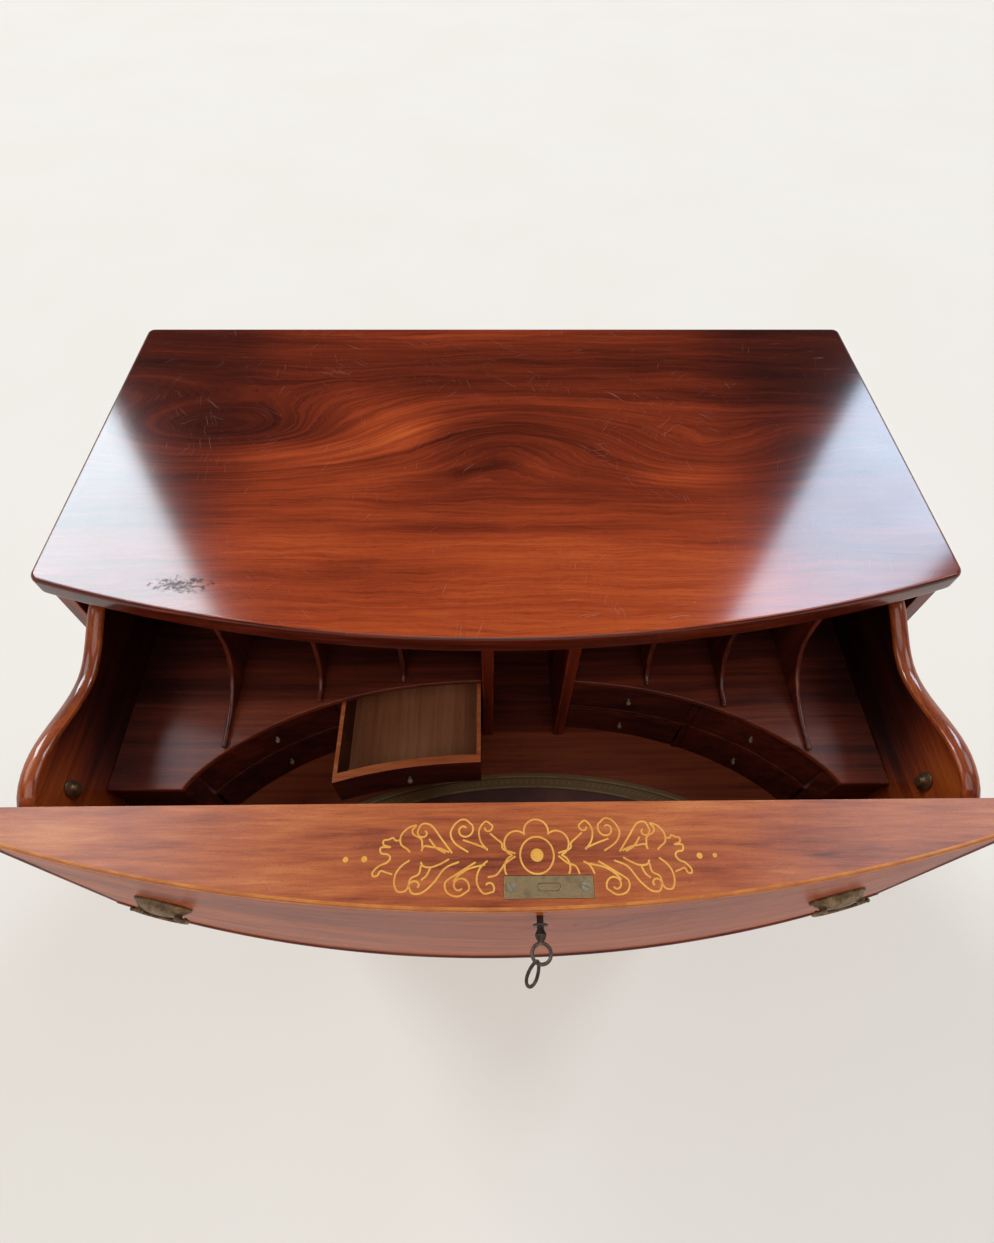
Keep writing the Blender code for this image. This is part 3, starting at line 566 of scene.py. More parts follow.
DARK: Tones = ((0.009, 0.0026, 0.0024), (0.034, 0.0068, 0.0048), (0.090, 0.0160, 0.0088),
               (0.175, 0.031, 0.014), (0.30, 0.062, 0.022))
RED: Tones = ((0.026, 0.0042, 0.0028), (0.085, 0.0110, 0.0048), (0.185, 0.0235, 0.0080),
              (0.350, 0.048, 0.0130), (0.56, 0.100, 0.021))
AMBER: Tones = ((0.010, 0.0018, 0.0015), (0.055, 0.0068, 0.0026), (0.165, 0.0220, 0.0045),
                (0.335, 0.058, 0.009), (0.51, 0.125, 0.021))
ROSE: Tones = ((0.075, 0.014, 0.008), (0.200, 0.037, 0.014), (0.360, 0.074, 0.023),
               (0.490, 0.115, 0.031), (0.62, 0.19, 0.055))
EMBER: Tones = ((0.016, 0.0030, 0.0021), (0.070, 0.0098, 0.0042), (0.180, 0.027, 0.0074),
                (0.348, 0.061, 0.0130), (0.54, 0.122, 0.024))
DEAL: Tones = ((0.090, 0.034, 0.012), (0.200, 0.090, 0.036), (0.295, 0.146, 0.060),
               (0.375, 0.200, 0.088), (0.47, 0.275, 0.135))
UMBER: Tones = ((0.060, 0.020, 0.009), (0.150, 0.048, 0.021), (0.250, 0.080, 0.034),
                (0.340, 0.115, 0.050), (0.44, 0.165, 0.076))
SATIN = {"roughness": 0.5, "specular": 0.1, "coat": 0.20, "coat_roughness": 0.3, "marks": 0.1}


class Finish(Enum):
    """The finishes of the chest."""

    TOP = Timber("flame_mahogany", RED, Grain.WIDE, 0.0, 10.0, 0.026, 0.42, 0.08, 0.05,
                 # Painted light and shade on the top: darker towards the back, lighter towards the front, and
                 # painted shade towards both ends where the windows' reflections lie.
                 (ToneSlope(1, 0.10, 0.26, -0.12), ToneSlope(1, 0.06, -0.03, 0.19), ToneSlope(0, 0.25, 0.37, -0.20),
                  ToneSlope(0, -0.27, -0.38, -0.20)),
                 (Patch((-0.35, 0.190), (0.18, 0.066), 0.125), Patch((0.01, 0.180), (0.12, 0.062), -0.060),
                  Patch((0.26, 0.150), (0.12, 0.060), 0.045)),
                 (Patch((-0.335, -0.046), (0.050, 0.017), 0.40),),
                 (Patch((-0.14, 0.112), (0.10, 0.020), 0.26), Patch((-0.17, 0.235), (0.06, 0.040), 0.18),
                  Patch((-0.11, 0.175), (0.04, 0.050), 0.14), Patch((-0.31, 0.200), (0.09, 0.035), -0.14),
                  Patch((-0.01, 0.185), (0.07, 0.035), -0.06), Patch((0.05, 0.125), (0.05, 0.030), 0.10),
                  Patch((0.22, 0.110), (0.06, 0.018), 0.16), Patch((0.00, 0.036), (0.17, 0.011), -0.15),
                  Patch((-0.17, -0.030), (0.10, 0.016), -0.13), Patch((0.03, -0.012), (0.17, 0.028), 0.10)),
                 0.75, streak=0.30, flare=Patch((-0.12, 0.18), (0.20, 0.10), 1.5), roughness=0.34,
                 specular=0.0, coat=1.0, coat_roughness=0.105, marks=0.8)
    TOP_EDGE = Timber("edge_mahogany", RED, Grain.FRONT, 12.1, 18.0, 0.010, 0.4, 0.10, -0.15,
                      roughness=0.38, specular=0.05, coat=0.7, marks=0.3)
    FALL = Timber("fall_mahogany", ROSE, Grain.WIDE, 3.1, 20.0, 0.010, 0.60, 0.09, 0.09,
                  (), (), (),
                  (Patch((-0.37, -0.295), (0.09, 0.030), 0.16), Patch((0.15, -0.290), (0.06, 0.020), 0.20),
                   Patch((-0.20, -0.330), (0.05, 0.020), 0.12), Patch((0.02, -0.310), (0.11, 0.040), -0.04),
                   Patch((0.30, -0.300), (0.08, 0.030), -0.06), Patch((-0.26, -0.285), (0.04, 0.015), -0.12)),
                  stretch=0.35, roughness=0.42, specular=0.1, coat=1.0, coat_roughness=0.24, marks=0.5)
    FALL_FACE = Timber("fall_face_mahogany", EMBER, Grain.FRONT, 3.1, 9.0, 0.024, 0.45, 0.08, 0.20, (),
                       (Patch((0.05, 0.870), (0.22, 0.07), 0.07),), streak=0.35, roughness=0.48,
                       specular=0.0, coat=0.50, coat_roughness=0.26, marks=0.15)
    SIDE = Timber("side_mahogany", RED, Grain.UPRIGHT_FLANK, 5.3, 9.0, 0.024, 0.5, 0.12, 0.0, streak=0.38)
    FRONT_1 = Timber("upper_front_mahogany", EMBER, Grain.FRONT, 7.9, 9.0, 0.026, 0.55, 0.12, 0.12, (),
                     (Patch((-0.04, 0.575), (0.24, 0.07), 0.08),), streak=0.38)
    FRONT_2 = Timber("lower_front_mahogany", EMBER, Grain.FRONT, 9.7, 9.0, 0.026, 0.55, 0.12, 0.11, (),
                     (Patch((0.06, 0.265), (0.24, 0.07), 0.08),), streak=0.38)
    CHEEK = Timber("cheek_mahogany", AMBER, Grain.DEEP, 2.3, 16.0, 0.012, 0.45, 0.12, 0.17,
                   roughness=0.38, coat=0.9, marks=0.2)
    CHEEK_FACE = Timber("cheek_face_mahogany", AMBER, Grain.FLANK, 2.3, 11.0, 0.016, 0.5, 0.15, 0.25,
                        # Painted shade: the cheeks' flat faces darken towards the back, where the top and the
                        # carcass shade them.
                        (ToneSlope(1, -0.26, -0.13, -0.58),), streak=0.30, roughness=0.42, coat=0.4, marks=0.2)
    INNER = Timber("inner_mahogany", DARK, Grain.WIDE, 4.1, 18.0, 0.012, 0.50, 0.15, 0.28,
                   # Painted shade: the inner boards darken towards the back under the top, and towards both
                   # ends beside the cheeks.
                   (ToneSlope(1, -0.15, -0.05, -0.30), ToneSlope(0, -0.35, -0.43, -0.24), ToneSlope(0, 0.35, 0.43, -0.24)),
                   streak=0.40, roughness=0.46, specular=0.05, coat=0.50, coat_roughness=0.32, marks=0.25)
    NEST = Timber("nest_mahogany", DARK, Grain.WIDE, 6.7, 20.0, 0.010, 0.5, 0.15, -0.02, **SATIN)
    RIM = Timber("rim_mahogany", ROSE, Grain.WIDE, 6.1, 20.0, 0.010, 0.6, 0.15, 0.28, **SATIN)
    TRAY = Timber("tray_bottom_wood", UMBER, Grain.DEEP, 6.9, 16.0, 0.010, 0.7, 0.25, 0.24,
                  streak=0.30, roughness=0.6, specular=0.1, coat=0.0, marks=0.4)
    DIVIDER = Timber("divider_mahogany", DARK, Grain.UPRIGHT, 8.3, 22.0, 0.010, 0.6, 0.15, 0.05,
                     coat=0.5, marks=0.1)
    PILASTER = Timber("pilaster_mahogany", RED, Grain.UPRIGHT, 8.9, 18.0, 0.010, 0.6, 0.15, -0.08,
                      roughness=0.46, specular=0.1, coat=0.25, coat_roughness=0.25, marks=0.1)
    FLOOR = Timber("floor_mahogany", DARK, Grain.WIDE, 1.9, 16.0, 0.014, 0.5, 0.15, 0.34,
                   (ToneSlope(1, -0.084, -0.078, -0.25),),
                   streak=0.40, roughness=0.5, specular=0.1, coat=0.14, coat_roughness=0.3, marks=0.3)
    TURNED = Timber("turned_mahogany", RED, Grain.UPRIGHT, 11.3, 24.0, 0.008, 0.7, 0.2, -0.08)
    BASE = Timber("base_mahogany", RED, Grain.FRONT, 12.7, 14.0, 0.012, 0.5, 0.15, -0.04, streak=0.40)
    BEAD = Timber("bead_mahogany", DARK, Grain.WIDE, 13.1, 30.0, 0.004, 0.5, 0.1, 0.10,
                  specular=0.1, coat=0.3, coat_roughness=0.25, marks=0.1)
    CASE = Timber("case_wood", DEAL, Grain.DEEP, 14.9, 14.0, 0.016, 0.7, 0.12, 0.0,
                  roughness=0.6, coat=0.0, marks=0.1)
    BACK = Timber("back_wood", DEAL, Grain.UPRIGHT, 16.1, 12.0, 0.014, 0.40, 0.12, -0.12,
                  streak=0.35, roughness=0.65, coat=0.0, marks=0.2)
    BRASS = AgedMetal("aged_brass", (0.46, 0.33, 0.15), (0.14, 0.095, 0.045), 0.5, 0.36)
    BRONZE = AgedMetal("dark_bronze", (0.30, 0.185, 0.095), (0.105, 0.064, 0.035), 0.52, 0.42)
    LOCK = AgedMetal("lock_brass", (0.43, 0.275, 0.135), (0.20, 0.122, 0.060), 0.5, 0.40)
    SCREW = AgedMetal("screw_steel", (0.82, 0.68, 0.48), (0.34, 0.26, 0.17), 0.36, 0.30)
    IRON = AgedMetal("key_iron", (0.17, 0.125, 0.095), (0.045, 0.031, 0.023), 0.55, 0.40)
    BOXWOOD = InlayWood("boxwood_inlay", (0.84, 0.40, 0.065), (0.70, 0.27, 0.040))
    STRINGING = InlayWood("edge_stringing", (0.62, 0.205, 0.032), (0.45, 0.115, 0.020))
    BONE = InlayWood("bone_knob", (0.34, 0.27, 0.19), (0.18, 0.12, 0.08))


@dataclass
class Bench:
    """Turns meshes into finished pieces of the chest."""

    frame: dict[str, Any]
    materials: dict[str, bpy.types.Material] = field(default_factory=dict)
    made: list[str] = field(default_factory=list)

    def body_of(self, node: str) -> str:
        """The body that a node belongs to."""
        bodies = self.frame["record"]["behaviour"]["bodies"]
        return next(body for body, members in bodies.items() if node in members)

    def joint(self, name: str) -> dict[str, Any]:
        """The joint with that name."""
        return next(joint for joint in self.frame["joints"] if joint["name"] == name)

    def material(self, finish: Any) -> bpy.types.Material:
        """The material of a finish, built the first time that it is asked for.

        Args:
            finish: One of the chest's finishes, or a finish of its own.

        Returns:
            The material.
        """
        finish = finish.value if isinstance(finish, Finish) else finish
        if finish.name not in self.materials:
            self.materials[finish.name] = finish.material()
        return self.materials[finish.name]

    def piece(self, name: str, bm: BMesh, finish: Any, body: str, slot: str, stands_for: Sequence[str] = (),
              areas: Sequence[Area] = ()) -> None:
        """Makes a piece of a mesh, shades it, dresses it and lets it ride on its body.

        Args:
            name: The piece's name.
            bm: Its mesh in place, freed here.
            finish: Its finish.
            body: The body that carries it.
            slot: The record's material slot; not used.
            stands_for: The solids that it replaces.
            areas: Other finishes, each with the test of a face that takes it.
        """
        for face in bm.faces:
            face.material_index = next((k for k, (_, test) in enumerate(areas, 1) if test(face)), 0)
        mesh = bpy.data.meshes.new(name)
        for wanted in (finish, *(area[0] for area in areas)):
            mesh.materials.append(self.material(wanted))
        bm.to_mesh(mesh)
        bm.free()
        mesh.shade_smooth()
        mesh.set_sharp_from_angle(angle=SHADE_ANGLE)
        obj = bpy.data.objects.new(name, mesh)
        bpy.context.scene.collection.objects.link(obj)
        shading = obj.modifiers.new("even_shading", "WEIGHTED_NORMAL")
        shading.keep_sharp = True
        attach(obj, body)
        if stands_for:
            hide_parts(*stands_for)
        self.made.append(name)

    def copy_of(self, node: str) -> BMesh:
        """A welded copy of a solid's mesh, its flat faces whole again.

        Args:
            node: The solid.

        Returns:
            The copy.
        """
        bm = bmesh.new()
        bm.from_mesh(self.frame["nodes"][node].data)
        bmesh.ops.remove_doubles(bm, verts=bm.verts, dist=WELD)
        bmesh.ops.dissolve_limit(bm, angle_limit=FLAT_ANGLE, verts=bm.verts, edges=bm.edges)
        return bm

    def eased(self, node: str, finish: Any, slot: str, ease: float = EASE, segments: int = 2,
              areas: Sequence[Area] = ()) -> None:
        """Stands a copy of a solid with eased arrises in the solid's place.

        Args:
            node: The solid.
            finish: The finish of the copy.
            slot: The record's material slot.
            ease: How far each sharp arris is rounded.
            segments: The steps of the round.
            areas: Other finishes, each with the test of a face that takes it.
        """
        bm = self.copy_of(node)
        ease_arrises(bm, ease, segments)
        self.piece(f"{node}_dressed", bm, finish, self.body_of(node), slot, (node,), areas)


def ease_arrises(bm: BMesh, width: float, segments: int = 2) -> None:
    """Rounds the sharp outer edges of a mesh and marks the rounds for wear.

    Args:
        bm: The mesh.
        width: How far each edge is rounded.
        segments: The steps of the round.
    """
    arris = bm.faces.layers.float.new("arris")
    sharp = [edge for edge in bm.edges
             if len(edge.link_faces) == 2 and edge.is_convex and edge.calc_face_angle() > ARRIS_ANGLE]
    made = bmesh.ops.bevel(bm, geom=sharp, offset=width, offset_type="OFFSET", segments=segments, profile=0.5,
                           affect="EDGES", clamp_overlap=True, material=-1)
    for face in made["faces"]:
        face[arris] = 1.0


def verts_in(geom: Sequence[Any]) -> list[BMVert]:
    """The vertices among what a mesh operator has made."""
    return [part for part in geom if isinstance(part, BMVert)]


def whole(bm: BMesh) -> list[Any]:
    """Every vertex, edge and face of a mesh."""
    return [*bm.verts, *bm.edges, *bm.faces]


def merged(parts: Sequence[BMesh]) -> BMesh:
    """Several meshes as one.

    Args:
        parts: The meshes, freed here.

    Returns:
        The one mesh.
    """
    joined = bmesh.new()
    for part in parts:
        mesh = bpy.data.meshes.new("part")
        part.to_mesh(mesh)
        part.free()
        joined.from_mesh(mesh)
        bpy.data.meshes.remove(mesh)
    return joined


def moved(bm: BMesh, matrix: Matrix) -> BMesh:
    """Moves a mesh and turns its faces out.

    Args:
        bm: The mesh.
        matrix: Its transform.

    Returns:
        The same mesh.
    """
    bmesh.ops.transform(bm, matrix=matrix, verts=bm.verts)
    bmesh.ops.recalc_face_normals(bm, faces=bm.faces)
    return bm


def through(points: Sequence[Sequence[float]], steps: int) -> list[Vector]:
    """A smooth curve through points.

    Args:
        points: The points, of two or three numbers each.
        steps: The steps between neighbouring points.

    Returns:
        The points of the curve.
    """
    knots = [Vector(point) for point in points]
    knots = [2 * knots[0] - knots[1], *knots, 2 * knots[-1] - knots[-2]]
    curve = []
    for a, b, c, d in zip(knots, knots[1:], knots[2:], knots[3:]):
        for k in range(steps):
            t = k / steps
            curve.append(0.5 * (2 * b + (c - a) * t + (2 * a - 5 * b + 4 * c - d) * t ** 2
                                + (3 * b - a - 3 * c + d) * t ** 3))
    return [*curve, knots[-2]]


def turned(profile: Sequence[Pair], steps: int = 40) -> BMesh:
    """A turned shape about Z.

    Args:
        profile: Radius and height pairs that start and end on the axis.
        steps: The steps of one turn.

    Returns:
        The shape.
    """
    bm = bmesh.new()
    verts = [bm.verts.new((radius, 0.0, height)) for radius, height in profile]
    edges = [bm.edges.new(pair) for pair in zip(verts, verts[1:])]
    bmesh.ops.spin(bm, geom=verts + edges, cent=(0, 0, 0), axis=UP, dvec=(0, 0, 0), angle=2 * math.pi,
                   steps=steps, use_merge=True)
    bmesh.ops.remove_doubles(bm, verts=bm.verts, dist=WELD)
    bmesh.ops.recalc_face_normals(bm, faces=bm.faces)
    return bm


def rods(paths: Sequence[Sequence[Vector]], radius: float, closed: bool = False) -> BMesh:
    """Round wire along paths.

    Args:
        paths: The points of each path.
        radius: The wire's radius.
        closed: Whether each path comes back to its start.

    Returns:
        The wires' mesh.
    """
    curve = bpy.data.curves.new("wire", "CURVE")
    curve.dimensions = "3D"
    curve.bevel_depth = radius
    curve.bevel_resolution = WIRE_RESOLUTION
    curve.use_fill_caps = True
    for path in paths:
        spline = curve.splines.new("POLY")
        spline.points.add(len(path) - 1)
        for knot, point in zip(spline.points, path):
            knot.co = (*point, 1.0)
        spline.use_cyclic_u = closed
    holder = bpy.data.objects.new("wire", curve)
    bpy.context.scene.collection.objects.link(holder)
    bpy.context.view_layer.update()
    mesh = bpy.data.meshes.new_from_object(holder.evaluated_get(bpy.context.evaluated_depsgraph_get()))
    bm = bmesh.new()
    bm.from_mesh(mesh)
    bpy.data.objects.remove(holder)
    bpy.data.curves.remove(curve)
    bpy.data.meshes.remove(mesh)
    bmesh.ops.remove_doubles(bm, verts=bm.verts, dist=WELD)
    bmesh.ops.recalc_face_normals(bm, faces=bm.faces)
    return bm


def bowed_rod(half: float, front: float, height: float, radius: float) -> BMesh:
    """A round bead that follows a bowed front.

    Args:
        half: Half of its width.
        front: Its y at the middle of the bow.
        height: Its z.
        radius: The bead's radius.

    Returns:
        The bead.
    """
    bm = bmesh.new()
    sweep = 2 * math.asin(half / FRONT_RADIUS)
    centre = Vector((0.0, front + FRONT_RADIUS, height))
    stand = Matrix.Translation((0.0, front, height)) @ Matrix.Rotation(math.pi / 2, 4, "Y")
    bmesh.ops.create_circle(bm, cap_ends=True, segments=BEAD_SIDES, radius=radius, matrix=stand)
    bmesh.ops.rotate(bm, cent=centre, matrix=Matrix.Rotation(-sweep / 2, 3, "Z"), verts=bm.verts)
    bmesh.ops.spin(bm, geom=whole(bm), cent=centre, axis=UP, dvec=(0, 0, 0), angle=sweep, steps=BEAD_STEPS)
    bmesh.ops.recalc_face_normals(bm, faces=bm.faces)
    return bm


def upright_rod(x: float, y: float, low: float, high: float, radius: float) -> BMesh:
    """A round bead that stands upright.

    Args:
        x: Its x.
        y: Its y.
        low: The height of its foot.
        high: The height of its top.
        radius: The bead's radius.

    Returns:
        The bead.
    """
    bm = bmesh.new()
    stand = Matrix.Translation((x, y, (low + high) / 2))
    bmesh.ops.create_cone(bm, cap_ends=True, segments=BEAD_SIDES, radius1=radius, radius2=radius,
                          depth=high - low, matrix=stand)
    return bm


def bow_depth(x: float, radius: float = FRONT_RADIUS) -> float:
    """How far a bowed front has fallen back at x."""
    return radius - math.sqrt(radius * radius - x * x)


@dataclass
class Board:
    """A flat board with a bowed front, rounded corners and a rounded edge."""

    half: float
    front: float
    back: float
    bow: float
    low: float
    high: float
    corner: float
    under: float
    over: float
    bow_steps: int = 34
    corner_steps: int = 8
    edge_steps: int = 7

    def build(self) -> BMesh:
        """Spins the bow, fills the outline, rounds its corners, raises it and rounds its edge.

        Returns:
            The board.
        """
        bm = bmesh.new()
        sweep = 2 * math.asin(self.half / self.bow)
        side = self.front + bow_depth(self.half, self.bow)
        left = bm.verts.new((-self.half, side, self.low))
        spun = bmesh.ops.spin(bm, geom=[left], cent=(0.0, self.front + self.bow, self.low), axis=UP,
                              dvec=(0, 0, 0), angle=sweep, steps=self.bow_steps)
        right = verts_in(spun["geom_last"])[0]
        rear_right = bm.verts.new((self.half, self.back, self.low))
        rear_left = bm.verts.new((-self.half, self.back, self.low))
        for pair in ((right, rear_right), (rear_right, rear_left), (rear_left, left)):
            bm.edges.new(pair)
        bmesh.ops.contextual_create(bm, geom=bm.edges[:])
        bmesh.ops.bevel(bm, geom=[left, right, rear_left, rear_right], offset=self.corner,
                        segments=self.corner_steps, profile=0.5, affect="VERTICES", material=-1)
        raised = bmesh.ops.extrude_face_region(bm, geom=bm.faces[:])
        bmesh.ops.translate(bm, verts=verts_in(raised["geom"]), vec=(0.0, 0.0, self.high - self.low))
        bmesh.ops.recalc_face_normals(bm, faces=bm.faces)
        for level, radius in ((self.low, self.under), (self.high, self.over)):
            rim = [edge for edge in bm.edges
                   if edge.calc_face_angle() > math.pi / 4
                   and all(abs(vert.co.z - level) < WELD for vert in edge.verts)]
            bmesh.ops.bevel(bm, geom=rim, offset=radius, segments=self.edge_steps, profile=0.5,
                            affect="EDGES", material=-1)
        return bm


def end_beads(low: Vector, high: Vector, foot: float, top: float, radius: float) -> list[BMesh]:
    """The upright beads at the two ends of a bowed front.

    Args:
        low: The low corner of the front's box.
        high: Its high corner.
        foot: The height of the beads' feet.
        top: The height of their tops.
        radius: The beads' radius.

    Returns:
        The two beads.
    """
    end = high.x - radius
    back = low.y + bow_depth(end)
    return [upright_rod(sign * end, back + BEAD_SUNK, foot, top, radius) for sign in SIGNS]


@dataclass
class Carcass:
    """The top, the sides, the back, the boards between the drawers and the feet."""

    bench: Bench
    top_corner: float = 10 * MM
    top_under: float = 8.5 * MM
    top_over: float = 4.5 * MM
    top_level: float = 0.85
    base_corner: float = 11 * MM
    base_round: float = 7.3 * MM
    back_boards: int = 5
    groove: float = 2.4 * MM
    foot_profile: Outline = ((0.60, 0.0), (0.86, 0.07), (1.0, 0.26), (0.92, 0.44), (0.70, 0.57),
                             (0.68, 0.60), (0.78, 0.63), (0.92, 0.70), (0.97, 0.80), (0.97, 0.88))
    foot_steps: int = 5

    def build(self) -> None:
        """Builds and dresses every piece of the carcass."""
        self._top()
        self._base()
        for side in SIDES:
            self.bench.eased(f"{side}_side", Finish.SIDE, "mahogany", 1.2 * MM, 3)
        for node in ("dust_board_upper", "dust_board_lower_1"):
            self.bench.eased(node, Finish.BASE, "mahogany", 1.0 * MM)
        self._back()
        for depth in ("front", "back"):
            for side in SIDES:
                self._foot(f"{depth}_{side}_foot")

    def _top(self) -> None:
        """The bowed top with its rounded edge."""
        low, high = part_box("top_board")
        board = Board(high.x, low.y, high.y, TOP_RADIUS, low.z, high.z, self.top_corner, self.top_under,
                      self.top_over)
        edge = (Finish.TOP_EDGE, lambda face: face.normal.z < self.top_level)
        self.bench.piece("polished_top", board.build(), Finish.TOP, "carcass", "mahogany", ("top_board",),
                         (edge,))

    def _back(self) -> None:
        """The back of upright boards, with a fine groove along each joint."""
        low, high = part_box("back_panel")
        bm = self.bench.copy_of("back_panel")
        ease_arrises(bm, EASE)
        for k in range(1, self.back_boards):
            joint = low.x + (high.x - low.x) * k / self.back_boards
            for x in (joint - self.groove, joint, joint + self.groove):
                bmesh.ops.bisect_plane(bm, geom=whole(bm), dist=WELD, plane_co=(x, 0, 0), plane_no=(1, 0, 0))
            sunk = [vert for vert in bm.verts
                    if abs(vert.co.x - joint) < 2 * WELD and vert.co.y > high.y - SKIN]
            bmesh.ops.translate(bm, verts=sunk, vec=(0.0, -self.groove, 0.0))
        self.bench.piece("back_panel_dressed", bm, Finish.BACK, "carcass", "drawer_wood", ("back_panel",))

    def _base(self) -> None:
        """The base moulding under the lowest drawer."""
        low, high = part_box("base_board")
        board = Board(high.x, low.y, high.y, FRONT_RADIUS, low.z, high.z, self.base_corner, self.base_round,
                      self.base_round)
        self.bench.piece("base_moulding", board.build(), Finish.BASE, "carcass", "mahogany", ("base_board",))

    def _foot(self, node: str) -> None:
        """Turns one foot.

        Args:
            node: The foot's solid.
        """
        low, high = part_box(node)
        radius, height = (high.x - low.x) / 2, high.z - low.z
        curve = through([(radius * wide, height * up) for wide, up in self.foot_profile], self.foot_steps)
        neck = radius * self.foot_profile[-1][0]
        profile = [(0.0, 0.0), *[(point.x, point.y) for point in curve], (neck, height), (0.0, height)]
        place = Matrix.Translation(((low.x + high.x) / 2, (low.y + high.y) / 2, low.z))
        foot = moved(turned(profile), place)
        self.bench.piece(f"turned_{node}", foot, Finish.TURNED, "carcass", "mahogany", (node,))


@dataclass
class WritingDrawer:
    """The pulled-out drawer: its floor, cheeks, shelf, dividers, nests of small drawers and fittings."""

    bench: Bench
    dividers: int = 6
    cheek_flat: float = 0.97
    leather_edge: float = 1.5 * MM
    knob: float = 4.5 * MM
    rim: float = 2 * MM

    def build(self) -> None:
        """Builds and dresses every piece of the writing drawer."""
        wood = "mahogany"
        self.bench.eased("writing_floor", Finish.FLOOR, wood)
        self._leather()
        flat = (Finish.CHEEK_FACE, lambda face: abs(face.normal.x) > self.cheek_flat)
        for side in SIDES:
            self.bench.eased(f"{side}_cheek", Finish.CHEEK, wood, areas=(flat,))
            self.bench.eased(f"pilaster_{side}", Finish.PILASTER, wood, 1.5 * MM, 3)
            self.bench.eased(f"nest_{side}", Finish.NEST, wood, 0.6 * MM)
            self.bench.eased(f"catch_{side}", Finish.BRONZE, "brass", 0.3 * MM)
            self.bench.eased(f"fall_hinge_{side}", Finish.BRASS, "brass", 0.3 * MM)
        shown = (Finish.INNER, lambda face: face.normal.y < -FACING)
        self.bench.eased("drawer_back", Finish.CASE, "drawer_wood", areas=(shown,))
        self.bench.eased("pigeonhole_shelf", Finish.INNER, wood, 1.6 * MM, 3)
        for k in range(1, self.dividers + 1):
            self.bench.eased(f"divider_{k}", Finish.DIVIDER, wood, 1.9 * MM, 3)
        for side in SIDES:
            for tier in ("upper", "lower"):
                for place in ("inner", "outer"):
                    self._small_drawer(f"small_drawer_{side}_{tier}_{place}")

    def _leather(self) -> None:
        """The writing leather in its shallow recess."""
        low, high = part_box("writing_leather")
        floor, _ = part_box("writing_floor")
        middle = ((low.x + high.x) / 2, floor.y)
        reach = ((high.x - low.x) / 2 + self.leather_edge, high.y - floor.y)
        finish = ToolingLeather("tooled_leather", middle, reach)
        self.bench.eased("writing_leather", finish, "leather", 0.3 * MM)

    def _small_drawer(self, node: str) -> None:
        """Dresses one small drawer, its rim and bottom in paler wood and its knob in bone.

        Args:
            node: The drawer's solid.
        """
        low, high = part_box(node)
        middle = (low + high) / 2

        def is_knob(face: BMFace) -> bool:
            """Whether a face belongs to the knob in the middle of the front."""
            away = face.calc_center_median() - middle
            return (away.y < 0 and max(abs(away.x), abs(away.z)) < self.knob
                    and face.calc_area() < self.knob * self.knob)

        def is_rim(face: BMFace) -> bool:
            """Whether a face lies along the top."""
            return face.calc_center_median().z > high.z - self.rim

        def is_bottom(face: BMFace) -> bool:
            """Whether a face is the bottom seen from above."""
            return face.normal.z > FACING and face.calc_center_median().z < middle.z

        areas = ((Finish.BONE, is_knob), (Finish.RIM, is_rim), (Finish.TRAY, is_bottom))
        self.bench.eased(node, Finish.NEST, "mahogany", 0.7 * MM, areas=areas)


